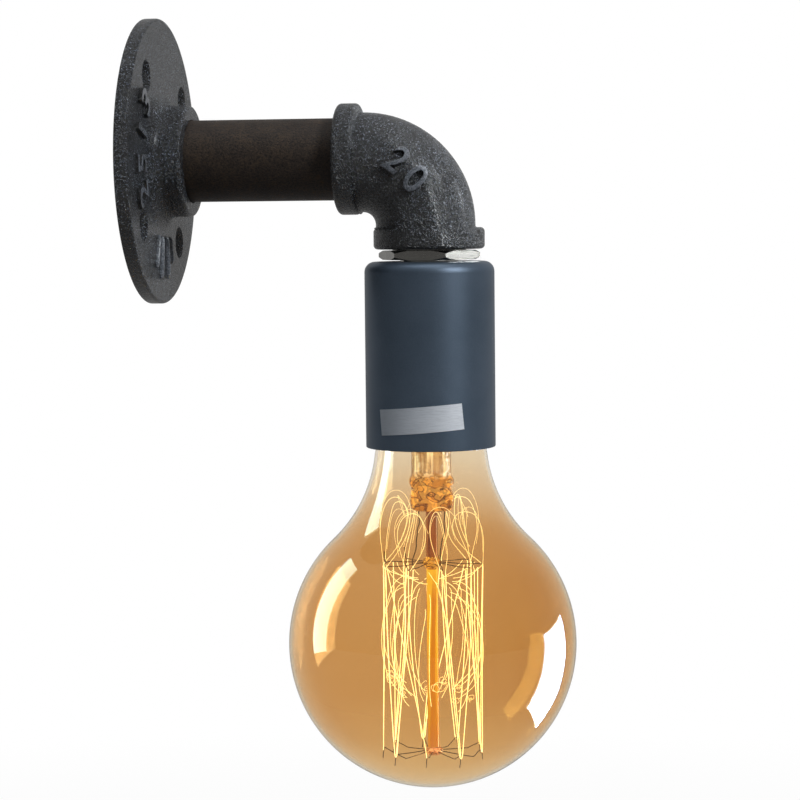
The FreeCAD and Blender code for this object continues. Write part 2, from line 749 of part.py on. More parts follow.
# ---------------------------------------------------------------- bulb
def neck_blend_centre(blend):
    """(r, z) of the concave arc's centre that is tangent to the neck and to the globe."""
    r = neck_r + blend
    return r, globe_z + math.sqrt((globe_r + blend) ** 2 - r ** 2)


def glass_edges(inset):
    """Edges of the envelope's outline, from the throat down to the pole, inset by the wall."""
    globe = globe_r - inset
    blend = neck_blend + inset
    centre_r, centre_z = neck_blend_centre(neck_blend)
    shoulder_z = cap_rim - neck_shoulder
    shoulder_r = neck_shoulder - inset
    throat = throat_r - inset
    top = cap_rim + throat_length

    def at(r, z):
        return FreeCAD.Vector(lamp_x + r, 0, z)

    reach = globe_r + neck_blend
    join = at(centre_r * globe / reach, globe_z + (centre_z - globe_z) * globe / reach)
    axis_r = neck_r - neck_shoulder
    neck = at(centre_r - blend, centre_z if centre_z < shoulder_z else shoulder_z)
    slope = math.asin((centre_z - neck.z) / blend)
    turn = (slope + math.atan2(centre_z - join.z, centre_r - (join.x - lamp_x))) / 2
    neck_start = at(centre_r - blend * math.cos(slope), neck.z)
    waist = at(centre_r - blend * math.cos(turn), centre_z - blend * math.sin(turn))
    high = math.atan2(join.z - globe_z, join.x - lamp_x)
    equator = at(globe * math.cos(high / 2 - math.pi / 4), globe_z + globe * math.sin(high / 2 - math.pi / 4))
    corner = math.sqrt(0.5)
    shoulder_top = at(axis_r, shoulder_z + shoulder_r)
    shoulder_side = neck_start
    shoulder_mid = at(axis_r + shoulder_r * corner, shoulder_z + shoulder_r * corner)
    return [
        Part.makeLine(at(throat, top), at(throat, shoulder_top.z)),
        Part.makeLine(at(throat, shoulder_top.z), shoulder_top),
        Part.Arc(shoulder_top, shoulder_mid, shoulder_side).toShape(),
        Part.Arc(neck_start, waist, join).toShape(),
        Part.Arc(join, equator, at(0, globe_z - globe)).toShape(),
    ]


def make_glass_envelope():
    """Globe, neck and throat of amber glass, blown with an even wall."""
    outer = glass_edges(0)
    inner = glass_edges(glass_wall)
    bottom = Part.makeLine(outer[-1].Vertexes[-1].Point, inner[-1].Vertexes[-1].Point)
    top = Part.makeLine(outer[0].Vertexes[0].Point, inner[0].Vertexes[0].Point)
    outline = Part.Wire(Part.__sortEdges__(outer + inner + [bottom, top]))
    return Part.Face(outline).revolve(LAMP, Z_AXIS, 360)


def make_bulb_cap():
    """Metal E27 cap with its rolled thread, open below for the glass."""
    body = turned_on_lamp([
        (cap_bore_r, cap_rim),
        (cap_root_r, cap_rim, 0.2),
        (cap_root_r, cap_top - 1.2, 1.0),
        (insulator_top_r + 3.4, cap_top, 0.4),
        (insulator_top_r + 3.4, cap_top - 0.5, 0),
        (cap_bore_r, cap_top - 1.9, 0.6),
    ])
    ridge = screw_ridge(thread_start(), cap_thread_turns, cap_root_r - 0.12, cap_crest_r,
                        cap_root_width, cap_crest_width)
    return body.fuse(ridge)


def make_cap_insulator():
    """Black glass between the cap's shell and its centre contact."""
    return turned_on_lamp([
        (1.0, cap_top - 1.6),
        (insulator_top_r + 3.2, cap_top - 1.6),
        (insulator_top_r + 3.2, cap_top + 0.3, 0.3),
        (insulator_top_r, insulator_top, 0.8),
        (1.0, insulator_top),
    ])


def make_cap_contact():
    """Centre contact at the tip of the cap."""
    return turned_on_lamp([
        (0, insulator_top),
        (contact_r, insulator_top, 0.2),
        (contact_r - 0.6, insulator_top + contact_height * 0.6, 0.8),
        (contact_r * 0.4, tip_top, 0.5),
        (0, tip_top),
    ])


def make_cap_cement():
    """Basing cement that holds the cap on the glass."""
    return ring(throat_r + seal_gap, cap_bore_r - seal_gap, cap_rim + 0.6, cap_rim + throat_length - 1)


def make_glass_stem():
    """Flared glass tube, sealed in the throat, that ends in the flat pinch."""
    top = cap_rim + throat_length - 1.0
    tube_bottom = pinch_top + 1.0
    flare = turned_on_lamp([
        (stem_flare_r - stem_wall, top),
        (stem_flare_r, top, 0.3),
        (stem_flare_r, top - 1.0, 0.4),
        (stem_r, top - stem_flare_height, 1.6),
        (stem_r, tube_bottom),
        (stem_r - stem_wall, tube_bottom),
        (stem_r - stem_wall, top - stem_flare_height + 0.4, 1.2),
    ])
    round_end = Part.Wire(Part.makeCircle(stem_r, FreeCAD.Vector(lamp_x, 0, tube_bottom), Z_AXIS))
    half_x = pinch_width / 2
    half_y = pinch_depth / 2
    level = tube_bottom - 4.0
    plate = Part.makePolygon([FreeCAD.Vector(lamp_x + x, y, level) for x, y in (
        (-half_x, -half_y), (half_x, -half_y), (half_x, half_y), (-half_x, half_y), (-half_x, -half_y))])
    taper = Part.makeLoft([round_end, plate], True)
    press = block(pinch_width, pinch_depth, pinch_bottom, level)
    return flare.fuse([taper, press]).removeSplitter()


def make_stem_rod():
    """Glass rod that carries both buttons."""
    return disc(rod_r, cap_rim - rod_drop, pinch_bottom)


def make_button(z, radius, height, lower):
    """Glass bead round the rod, with a blind hole for each support."""
    inner = rod_r + seal_gap
    curve = min(height * 0.45, (radius - inner) * 0.9)
    body = turned_on_lamp([
        (inner, z + height / 2),
        (radius, z + height / 2, curve),
        (radius, z - height / 2, curve),
        (inner, z - height / 2),
    ])
    holes = [swept([(around_lamp(radius - support_sunk - seal_gap, support_angle(i, lower), z), 0),
                    (around_lamp(radius + 1.0, support_angle(i, lower), z), 0)], support_r + seal_gap)
             for i in range(support_count)]
    return body.cut(holes)


def support_angle(index, lower):
    """Upper hooks stand half a step round from the lower ones; the lead-in wires face +Y."""
    return 360 / support_count * (index + (0.5 if lower else 0.0)) - 70


def make_supports(z, lower):
    """Spokes of molybdenum wire from a button, each ending in an upturned or downturned hook."""
    solids = []
    way = -1 if lower else 1
    for i in range(support_count):
        angle = support_angle(i, lower)
        start = (lower_button_r if lower else upper_button_r) - support_sunk
        solids.append(swept([
            (around_lamp(start, angle, z), 0),
            (around_lamp(support_ring_r, angle, z), 0.6),
            (around_lamp(support_ring_r, angle, z + way * hook_rise), 0),
        ], support_r))
    return group(solids)


def filament_spread():
    """Angle between a strand and the hook that it passes, in degrees."""
    return math.degrees(filament_bend / support_ring_r)


def filament_corners():
    """The filament's route: down to a lower hook, up past an upper hook and over in a loop."""
    corners = []
    ring_r = support_ring_r + filament_clear
    spread = filament_spread()
    for i in range(support_count):
        upper = support_angle(i, False)
        lower = support_angle(i, True)
        rise = petal_rise if i % 2 else petal_rise - 4.5
        corners += [
            (around_lamp(ring_r, upper - spread, upper_z), 6.0),
            (around_lamp(ring_r + 0.5, upper - petal_half_turn, upper_z + rise * 0.55), 5.0),
            (around_lamp(ring_r - 1.5, upper - petal_half_turn, upper_z + rise), 2.6),
            (around_lamp(petal_inner_r, upper + petal_half_turn, upper_z + rise), 2.6),
            (around_lamp(petal_inner_r + 0.5, upper + petal_half_turn, upper_z + rise * 0.5), 4.5),
            (around_lamp(ring_r, upper + spread, upper_z), 5.0),
        ]
        if i < support_count - 1:
            corners += [
                (around_lamp(ring_r, lower - spread, lower_z - filament_bend), filament_bend * 0.9),
                (around_lamp(ring_r, lower + spread, lower_z - filament_bend), filament_bend * 0.9),
            ]
    corners[0] = (corners[0][0], 0)
    corners[-1] = (corners[-1][0], 0)
    return corners


def make_filament():
    return swept(filament_corners(), filament_r)


def least_gap():
    """Least distance between stretches of the filament that lie more than 6 mm apart along it."""
    points = []
    along = 0.0
    for edge in rounded_edges(filament_corners(), False):
        steps = max(2, int(edge.Length / 0.5))
        points += [(along + edge.Length * k / steps, p) for k, p in enumerate(edge.discretize(steps + 1)[:-1])]
        along += edge.Length
    least = 1e9
    for i, (s, p) in enumerate(points):
        for t, q in points[i + 1:]:
            if t - s > 6.0:
                least = min(least, p.distanceToPoint(q))
    return least - 2 * filament_r


def make_lead_in_wires():
    """Two wires from the pinch to the ends of the filament."""
    spread = filament_spread()
    end_r = support_ring_r + filament_clear - filament_r - lead_in_r - lead_in_clear
    ends = [support_angle(0, False) - spread, support_angle(support_count - 1, False) + spread]
    solids = []
    for side, angle in zip((1, -1), ends):
        inner = FreeCAD.Vector(lamp_x + side * lead_in_out, 0, pinch_bottom)
        solids.append(swept([
            (inner, 0),
            (inner - Z_AXIS * 4.0, 1.6),
            (around_lamp(end_r, angle, upper_z + 0.8), 0),
        ], lead_in_r))
    return group(solids)


# ---------------------------------------------------------------- build
def build():
    os.makedirs(OUT, exist_ok=True)
    pieces = {
        "wall_flange": make_wall_flange(),
        "pipe_nipple": make_pipe_nipple(),
        "pipe_elbow": make_pipe_elbow(),
        "reducing_bush": make_reducing_bush(),
        "cover_washer": ring(tube_r + 0.2, cover_washer_r, cover_top, hex_bottom),
        "threaded_tube": make_threaded_tube(),
        "earth_tag": make_earth_tag(),
        "tag_locknut": locknut(bush_top + tag_thick, bush_top + tag_thick + locknut_thick, 30),
        "lamp_cover": make_lamp_cover(),
        "rating_label": make_rating_label(),
        "star_washer": make_star_washer(),
        "cover_locknut": locknut(nut_bottom, nut_top),
        "holder_cap": make_holder_cap(),
        "grub_screw": make_grub_screw(),
        "holder_skirt": make_holder_skirt(),
        "holder_core": make_holder_core(),
        "core_rivets": make_core_rivets(),
        "terminal_blocks": make_terminal_blocks(),
        "clamp_screws": make_clamp_screws(),
        "centre_contact": make_centre_contact(),
        "screw_shell": make_screw_shell(),
        "live_lead": make_supply_lead(1),
        "neutral_lead": make_supply_lead(2),
        "earth_lead": make_earth_lead(),
        "lead_ferrules": make_lead_ferrules(),
        "lead_cores": make_lead_cores(),
        "glass_envelope": make_glass_envelope(),
        "bulb_cap": make_bulb_cap(),
        "cap_insulator": make_cap_insulator(),
        "cap_contact": make_cap_contact(),
        "cap_cement": make_cap_cement(),
        "glass_stem": make_glass_stem(),
        "stem_rod": make_stem_rod(),
        "upper_button": make_button(upper_z, upper_button_r, upper_button_height, False),
        "lower_button": make_button(lower_z, lower_button_r, lower_button_height, True),
        "upper_supports": make_supports(upper_z, False),
        "lower_supports": make_supports(lower_z, True),
        "lead_in_wires": make_lead_in_wires(),
        "filament": make_filament(),
    }
    for name, shape in pieces.items():
        print(name, len(shape.Solids), round(shape.Volume, 2), shape.isValid())
        shape.exportStep(os.path.join(OUT, name + ".step"))
    print("least gap of the filament to itself:", round(least_gap(), 2))


build()
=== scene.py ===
import bpy, bmesh, json, math, random
from math import cos, pi, radians, sin
from types import SimpleNamespace as Settings
from mathutils import Euler, Matrix, Quaternion, Vector, noise

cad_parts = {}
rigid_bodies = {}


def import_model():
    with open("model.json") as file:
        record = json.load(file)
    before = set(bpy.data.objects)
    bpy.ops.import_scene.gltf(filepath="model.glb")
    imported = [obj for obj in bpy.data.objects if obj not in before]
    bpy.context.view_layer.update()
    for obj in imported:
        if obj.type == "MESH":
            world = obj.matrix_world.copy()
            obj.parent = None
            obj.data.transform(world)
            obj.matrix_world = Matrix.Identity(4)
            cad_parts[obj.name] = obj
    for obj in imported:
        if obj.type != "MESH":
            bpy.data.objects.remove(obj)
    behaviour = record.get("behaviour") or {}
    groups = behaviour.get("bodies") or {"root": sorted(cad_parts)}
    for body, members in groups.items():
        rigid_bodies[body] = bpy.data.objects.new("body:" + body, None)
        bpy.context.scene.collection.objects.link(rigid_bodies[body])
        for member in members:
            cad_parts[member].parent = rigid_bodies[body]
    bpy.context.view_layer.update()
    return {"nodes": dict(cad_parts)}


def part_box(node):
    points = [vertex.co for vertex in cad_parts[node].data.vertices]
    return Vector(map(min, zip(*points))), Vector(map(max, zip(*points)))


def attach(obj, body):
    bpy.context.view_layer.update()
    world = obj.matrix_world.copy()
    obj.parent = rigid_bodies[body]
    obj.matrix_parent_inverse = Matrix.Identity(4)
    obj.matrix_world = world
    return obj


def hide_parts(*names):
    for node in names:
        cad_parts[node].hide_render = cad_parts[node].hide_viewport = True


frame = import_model()
mm = 0.001


def lowHigh(node):
    low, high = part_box(node)
    return Vector(low), Vector(high)


def middleOf(node):
    # in full precision, which a Vector's own sum lacks
    return [(a + b) / 2 for a, b in zip(*lowHigh(node))]


envelopeLow, envelopeHigh = lowHigh("glass_envelope")
lampX = middleOf("lamp_cover")[0]
capRim = lowHigh("bulb_cap")[0].z
pinchTop = capRim - 14.0 * mm
upperLevel, lowerLevel = middleOf("upper_button")[2], middleOf("lower_button")[2]
print("stage: frame loaded, lamp axis at", round(lampX, 4))


# shader wiring
class Wire:
    # a node's output, for sums, products, powers, ranges and colour mixes
    def __init__(self, tree, socket):
        self.tree = tree
        self.socket = socket

    def math(self, operation, first, second):
        return addNode(self.tree, "ShaderNodeMath", {"operation": operation}, {0: first, 1: second})

    def __add__(self, other):
        return self.math("ADD", self, other)

    __radd__ = __add__

    def __sub__(self, other):
        return self.math("SUBTRACT", self, other)

    def __rsub__(self, other):
        return self.math("SUBTRACT", other, self)

    def __mul__(self, other):
        return self.math("MULTIPLY", self, other)

    __rmul__ = __mul__

    def __pow__(self, other):
        return self.math("POWER", self, other)

    def sine(self):
        return self.math("SINE", self, 0.0)

    def part(self, index):
        # x, y or z of a vector
        return addNode(self.tree, "ShaderNodeSeparateXYZ", {}, {0: self}, index)

    def span(self, low, high, start=0.0, end=1.0):
        # low to high becomes start to end, held at both
        return addNode(self.tree, "ShaderNodeMapRange", {"clamp": True}, {
            "Value": self, "From Min": low, "From Max": high, "To Min": start, "To Max": end})

    def mix(self, first, second):
        # the first colour where this is 0, the second where it is 1
        return addNode(self.tree, "ShaderNodeMix", {"data_type": "RGBA"}, {0: self, 6: first, 7: second}, 2)

    def ramp(self, *stops):
        return addNode(self.tree, "ShaderNodeValToRGB", {"stops": stops}, {"Fac": self}, "Color")


def addNode(tree, kind, settings=None, inputs=None, output=0):
    # settings come first, then the values or links of the sockets
    node = tree.nodes.new(kind)
    for key, value in (settings or {}).items():
        if key == "stops":
            ramp = node.color_ramp
            while len(ramp.elements) < len(value):
                ramp.elements.new(0.5)
            for element, (place, colour) in zip(ramp.elements, value):
                element.position = place
                element.color = (*colour, 1.0)
        else:
            setattr(node, key, value)
    for key, value in (inputs or {}).items():
        socket = node.inputs[key]
        if isinstance(value, Wire):
            tree.links.new(value.socket, socket)
        elif isinstance(value, tuple) and len(value) < len(socket.default_value):
            socket.default_value = (*value, 1.0)
        else:
            socket.default_value = value
    return Wire(tree, node.outputs[output]) if len(node.outputs) else None


class Finish:
    # one material, with short names for what its recipes share; sizes are in millimetres
    def __init__(self, name, constants):
        self.material = bpy.data.materials.new(name)
        self.material.use_nodes = True
        self.tree = self.material.node_tree
        self.shader = self.tree.nodes["Principled BSDF"]
        for key, value in constants.items():
            self.shader.inputs[key].default_value = value
        self.place = self.node("ShaderNodeTexCoord", output="Object")

    def node(self, kind, settings=None, inputs=None, output=0):
        return addNode(self.tree, kind, settings, inputs, output)

    def noise(self, size, detail=3.0, roughness=0.55, distortion=0.0, stretch=None, place=None):
        place = place or self.place
        if stretch:
            place = self.node("ShaderNodeVectorMath", {"operation": "MULTIPLY"}, {0: place, 1: stretch})
        return self.node("ShaderNodeTexNoise", {}, {
            "Vector": place, "Scale": 1.0 / (size * mm), "Detail": detail,
            "Roughness": roughness, "Distortion": distortion}, "Fac")

    def cells(self, size, feature="F1"):
        return self.node("ShaderNodeTexVoronoi", {"feature": feature}, {
            "Vector": self.place, "Scale": 1.0 / (size * mm)}, "Distance")

    def facing(self, blend=0.5):
        # 0 where the surface faces the eye, 1 where it turns away
        return self.node("ShaderNodeLayerWeight", {}, {"Blend": blend}, "Facing")

    def feed(self, name, value):
        self.tree.links.new(value.socket, self.shader.inputs[name])

    def dress(self, colour, roughness, height, depth, strength=1.0):
        # what every recipe ends with: colour, roughness and bump
        self.feed("Base Color", colour)
        self.feed("Roughness", roughness)
        self.feed("Normal", self.node("ShaderNodeBump", {}, {
            "Height": height, "Distance": depth * mm, "Strength": strength}, "Normal"))
        return self


def srgb(*levels):
    # a colour as it reads on screen, 0 to 255
    return tuple(((v / 255 + 0.055) / 1.055) ** 2.4 if v > 10 else v / 255 / 12.92 for v in levels)


def scaled(colour, share):
    return tuple(c * share for c in colour)


# cast iron; its bright flecks are painted glints, a painted highlight in the base colour
castLook = {
    "dark": srgb(5, 5, 6),
    "light": srgb(33, 36, 41),
    "bright": srgb(138, 145, 158),
    "rust": srgb(24, 20, 17),
    "grain": 0.66,
    "fine": 0.4,
    "depth": 1.4,
    "shine": 0.5,
    "roughness": (0.1, 0.25),
}


def castIron(name, tint=(1.0, 1.0, 1.0), look=castLook):
    finish = Finish(name, {"Specular IOR Level": look["shine"], "Coat Roughness": 0.2})
    grain = finish.noise(look["grain"], 2.0, 0.55)
    fine = finish.noise(look["fine"], 2.0, 0.6)
    pits = finish.cells(look["grain"] * 1.2, "SMOOTH_F1")
    cloud = finish.noise(9.0, 4.0, 0.6)
    speckle = grain * 0.5 + fine * 0.5
    tone = (speckle * 0.85 + cloud * 0.15).span(0.46, 0.56).mix(look["dark"], look["light"])
    # painted glints: bright flecks of painted highlight in the grain
    tone = (fine * 0.6 + grain * 0.4).span(0.55, 0.65, 0.0, 0.8).mix(tone, look["bright"])
    tone = finish.noise(13.0).span(0.45, 0.72, 0.0, 0.5).mix(tone, look["rust"])
    tinted = finish.node("ShaderNodeMix", {"data_type": "RGBA", "blend_type": "MULTIPLY"},
                         {0: 1.0, 6: tone, 7: tint}, 2)
    finish.feed("Coat Weight", cloud.span(0.35, 0.7, 0.0, 0.12))
    return finish.dress(tinted, (fine * 0.6 + cloud * 0.4).span(0.35, 0.65, *look["roughness"]),
                        grain * 0.7 + fine * 0.3 + pits * 0.25, look["depth"])


# pipe
pipeLook = Settings(base=srgb(54, 45, 39), warm=srgb(70, 56, 43), dark=srgb(22, 18, 17), depth=0.2)


def darkPipe(name):
    finish = Finish(name, {"Specular IOR Level": 0.2, "Coat Roughness": 0.35})
    draw = finish.noise(0.55, 3.0, 0.6, stretch=(0.7, 1.0, 1.0))
    blotch = finish.noise(7.0, 4.0, 0.6)
    peel = finish.noise(0.45, 2.0, 0.6)
    tone = (peel * 0.6 + draw * 0.4).span(0.38, 0.6).mix(pipeLook.dark, pipeLook.base)
    tone = (draw * 0.5 + blotch * 0.5).span(0.48, 0.66, 0.0, 0.6).mix(tone, pipeLook.warm)
    finish.feed("Coat Weight", blotch.span(0.3, 0.7, 0.0, 0.05))
    return finish.dress(tone, draw.span(0.3, 0.7, 0.48, 0.68), draw * 0.3 + peel * 0.7, pipeLook.depth)


# plated steel, turned about the lamp's axis or stamped
def platedSteel(name, colour, roughness, turned=True):
    finish = Finish(name, {"Metallic": 1.0})
    if turned:
        shift = finish.node("ShaderNodeVectorMath", {"operation": "SUBTRACT"},
                            {0: finish.place, 1: (lampX, 0.0, 0.0)})
        x, y, z = (shift.part(i) for i in range(3))
        rings = finish.node("ShaderNodeCombineXYZ", {}, {0: (x * x + y * y) ** 0.5, 1: z, 2: 0.0})
        line = finish.noise(0.16, 4.0, 0.7, place=rings)
    else:
        line = finish.noise(0.25, 4.0, 0.7, stretch=(0.08, 1.0, 1.0))
    stain = finish.noise(4.0, 4.0, 0.6)
    return finish.dress(stain.span(0.4, 0.75, 0.0, 0.6).mix(colour, scaled(colour, 0.72)),
                        (line * 0.6 + stain * 0.4).span(0.3, 0.7, roughness * 0.75, roughness * 1.35),
                        line, 0.03, 0.5)


# brass
def brassFinish(name, colour=srgb(214, 178, 104), roughness=0.28):
    finish = Finish(name, {"Metallic": 1.0})
    tarnish = finish.noise(3.0, 5.0, 0.65)
    scratch = finish.noise(0.2, 3.0, 0.6, stretch=(1.0, 0.1, 0.5))
    dull = tuple(c * f for c, f in zip(colour, (0.55, 0.45, 0.4)))
    return finish.dress(tarnish.span(0.45, 0.75, 0.0, 0.8).mix(colour, dull),
                        (tarnish * 0.5 + scratch * 0.5).span(0.3, 0.7, roughness * 0.8, roughness * 1.6),
                        scratch, 0.02, 0.5)


# slate paint on the cover
coverLook = Settings(base=srgb(80, 95, 111), light=srgb(89, 104, 121), roughness=(0.36, 0.43))


def slatePaint(name):
    finish = Finish(name, {"Metallic": 0.65, "Specular IOR Level": 0.35, "Coat Roughness": 0.4})
    powder = finish.noise(0.4, 2.0, 0.5)
    drift = finish.noise(16.0, 3.0, 0.5)
    finish.feed("Coat Weight", drift.span(0.3, 0.7, 0.0, 0.08))
    shade = (drift * 0.6 + powder * 0.4).span(0.35, 0.66)
    return finish.dress(shade.mix(coverLook.base, coverLook.light),
                        powder.span(0.3, 0.7, *coverLook.roughness), powder, 0.04, 0.5)


# label foil, lighter to the right: a painted light across it
labelLook = Settings(dark=srgb(178, 187, 198), light=srgb(236, 242, 250), line=srgb(150, 157, 168))


def labelFoil(name):
    finish = Finish(name, {"Metallic": 0.3})
    brush = finish.noise(0.16, 4.0, 0.7, stretch=(0.05, 0.05, 1.0))
    sweep = finish.noise(9.0, 2.0, 0.4)
    # painted light: the foil gets lighter from left to right
    across = finish.place.part(0).span(lampX - 14 * mm, lampX + 12 * mm)
    tone = (across * 0.7 + sweep * 0.3).span(0.2, 0.9).mix(labelLook.dark, labelLook.light)
    return finish.dress(brush.span(0.45, 0.7, 0.0, 0.4).mix(tone, labelLook.line),
                        brush.span(0.3, 0.7, 0.34, 0.5), brush * 0.4 + sweep * 2.0, 0.05, 0.5)


# plastics, ceramic and the leads
def mouldedPlastic(name, colour, roughness):
    finish = Finish(name, {"Specular IOR Level": 0.5})
    flow = finish.noise(5.0, 4.0, 0.6, 0.6)
    skin = finish.noise(0.5, 2.0)
    light = tuple(c * 1.5 + 0.004 for c in colour)
    return finish.dress(flow.span(0.35, 0.7).mix(colour, light),
                        (flow * 0.6 + skin * 0.4).span(0.3, 0.7, roughness * 0.8, roughness * 1.4),
                        skin, 0.03, 0.4)


def steatite(name):
    finish = Finish(name, {"Specular IOR Level": 0.4})
    speck = finish.cells(0.9)
    cloud = finish.noise(4.0)
    tone = cloud.span(0.35, 0.7).mix(srgb(226, 220, 206), srgb(238, 234, 224))
    return finish.dress(speck.span(0.0, 0.16, 0.5, 0.0).mix(tone, srgb(150, 140, 124)),
                        cloud.span(0.3, 0.7, 0.6, 0.8), finish.noise(0.3), 0.04, 0.5)


def insulation(name, colour, stripe=None):
    finish = Finish(name, {"Specular IOR Level": 0.45})
    cloud = finish.noise(1.2, 2.0)
    tone = cloud.span(0.4, 0.7, 0.0, 0.5).mix(colour, scaled(colour, 1.3))
    if stripe:
        y, z = finish.place.part(1), finish.place.part(2)
        tone = ((y + z * 0.3) * 2600.0).sine().span(0.1, 0.2).mix(tone, stripe)
    return finish.dress(tone, cloud.span(0.3, 0.7, 0.38, 0.52), finish.noise(0.4, 2.0), 0.02, 0.4)


def strandedCopper(name):
    finish = Finish(name, {"Metallic": 1.0})
    x, y, z = (finish.place.part(i) for i in range(3))
    lay = (y.math("ARCTAN2", y, x - lampX) * 9.0 + z * 3000.0).sine()
    # darker between the strands, a painted shade in the grooves of the lay
    return finish.dress(lay.span(-1.0, 0.6).mix(srgb(140, 78, 50), srgb(224, 150, 110)),
                        lay.span(-1.0, 1.0, 0.45, 0.25), lay, 0.06, 0.8)


# small finishes that one noise drives: size, detail, roughness and swirl
plainLooks = {
    "cement": {
        "noise": (0.8, 5.0, 0.7), "from": 0.3, "colours": (srgb(150, 138, 116), srgb(206, 196, 174)),
        "roughness": (0.8, 0.95), "bump": (0.15, 0.8), "shader": {}},
    "solder": {
        "noise": (1.6, 3.0, 0.5, 0.8), "from": 0.35, "colours": (srgb(170, 172, 176), srgb(214, 214, 212)),
        "roughness": (0.25, 0.5), "bump": (0.1, 0.6), "shader": {"Metallic": 1.0}},
    "vitrite": {
        "noise": (2.5, 3.0, 0.5, 1.0), "from": 0.35, "colours": (srgb(12, 12, 16), srgb(34, 30, 40)),
        "roughness": (0.08, 0.2), "bump": (0.08, 0.5), "shader": {"Specular IOR Level": 0.7}},
    "wire": {
        "noise": (0.5, 4.0, 0.7), "from": 0.35, "colours": (srgb(58, 44, 32), srgb(122, 98, 72)),
        "roughness": (0.35, 0.6), "bump": (0.03, 0.6), "shader": {"Metallic": 0.9}},
}


def plainFinish(name, kind):
    look = plainLooks[kind]
    finish = Finish(name, look["shader"])
    flow = finish.noise(*look["noise"])
    return finish.dress(flow.span(look["from"], 0.7).mix(*look["colours"]),
                        flow.span(0.3, 0.7, *look["roughness"]), flow, *look["bump"])


# glass
glassLook = Settings(
    # edge: the paler colour of the painted rim reflection
    edge=(0.95, 0.84, 0.64),
    neck=(0.87, 0.77, 0.62),
    body=(0.75, 0.52, 0.275),
    deep=(0.7, 0.46, 0.215),
    foot=(0.86, 0.7, 0.45),
    index=1.36,
    ripple=0.055,
)


def amberGlass(name):
    finish = Finish(name, {"Transmission Weight": 1.0, "IOR": glassLook.index})
    drift = finish.noise(26.0, 2.0, 0.5)
    level = (finish.place.part(2) + (drift - 0.5) * (10.0 * mm)).span(envelopeLow.z, capRim)
    colour = level.ramp((0.0, glassLook.foot), (0.2, glassLook.body), (0.7, glassLook.body),
                        (0.93, glassLook.neck))
    sway = finish.noise(9.0, 2.0, 0.5, stretch=(1.0, 1.0, 0.2))
    across = (finish.place.part(0) + (sway - 0.5) * (30.0 * mm)).span(lampX - 5.0 * mm, lampX + 38.0 * mm)
    low = level.span(0.12, 0.3) - level.span(0.62, 0.85)
    colour = (across * low).mix(colour, glassLook.deep)
    # painted reflection: paler where the wall turns away, a painted rim sheen
    colour = finish.facing().span(0.5, 0.95, 0.0, 0.75).mix(colour, glassLook.edge)
    drawn = finish.noise(5.0, 2.0, 0.5, stretch=(1.0, 1.0, 0.35))
    return finish.dress(colour, drift.span(0.3, 0.7, 0.0, 0.01),
                        finish.noise(24.0, 1.0) + drawn * 0.12, glassLook.ripple, 0.45)


# stem colours; dim and streak are the painted glow above the press, shade and vein darken both the curls and
# the painted edge shade
stemTint = Settings(
    clear=(0.98, 0.88, 0.66),
    clearDark=(0.8, 0.58, 0.34),
    vein=srgb(92, 40, 12),
    shade=srgb(40, 16, 6),
    dim=srgb(70, 48, 26),
    streak=srgb(255, 236, 190),
)


def stemGlass(name, colour, deep, glow, swirl, depth, clearAbove=None):
    # melted amber glass: dark curls and painted glowing streaks, clearer above the press; emission gives it a
    # painted glow, and it darkens where it turns away from the eye, a painted edge shade
    finish = Finish(name, {"Transmission Weight": 0.62, "IOR": 1.5, "Emission Strength": 0.6})
    seeds = finish.noise(swirl, 1.5, 0.5, 1.3, stretch=(1.0, 1.0, 1.35))
    curls = finish.noise(swirl * 0.75, 1.0, 0.5, 1.8)
    vein = seeds.span(0.45, 0.49) - seeds.span(0.51, 0.55)
    tone = seeds.span(0.42, 0.6).mix(deep, colour)
    # painted glow: emission that makes the glass look lit
    glowing = curls.span(0.52, 0.6).mix(scaled(glow, 0.22), glow)
    # painted edge shade: darker where the glass turns away from the eye
    dark = finish.facing().span(0.5, 0.8)
    if clearAbove is not None:
        up = finish.place.part(2).span(clearAbove - 0.5 * mm, clearAbove + 1.5 * mm)
        lines = finish.noise(1.3, 2.0, 0.5, stretch=(1.0, 1.0, 0.05))
        tone = up.mix(tone, lines.span(0.44, 0.52).mix(stemTint.clearDark, stemTint.clear))
        glowing = up.mix(glowing, lines.span(0.52, 0.6).mix(stemTint.dim, stemTint.streak))
        vein = vein * (1 - up * 0.9)
    veinsAndPaintedEdgeShade = vein.math("MAXIMUM", vein * 0.9, dark * 0.85)
    finish.feed("Emission Color", veinsAndPaintedEdgeShade.mix(glowing, stemTint.shade))
    return finish.dress(veinsAndPaintedEdgeShade.mix(tone, stemTint.vein), seeds.span(0.3, 0.7, 0.0, 0.06), seeds, depth, 0.8)


# colours of the rod's painted glow, and darker ones for its painted edge shade and for the part above the
# upper button
rodTint = Settings(
    low=srgb(196, 136, 80),
    rich=srgb(200, 142, 30),
    bright=srgb(255, 232, 70),
    top=srgb(150, 92, 52),
    topDark=srgb(84, 44, 24),
    edge=srgb(140, 66, 12),
    glass=srgb(150, 100, 30),
    glassTop=srgb(100, 54, 26),
)


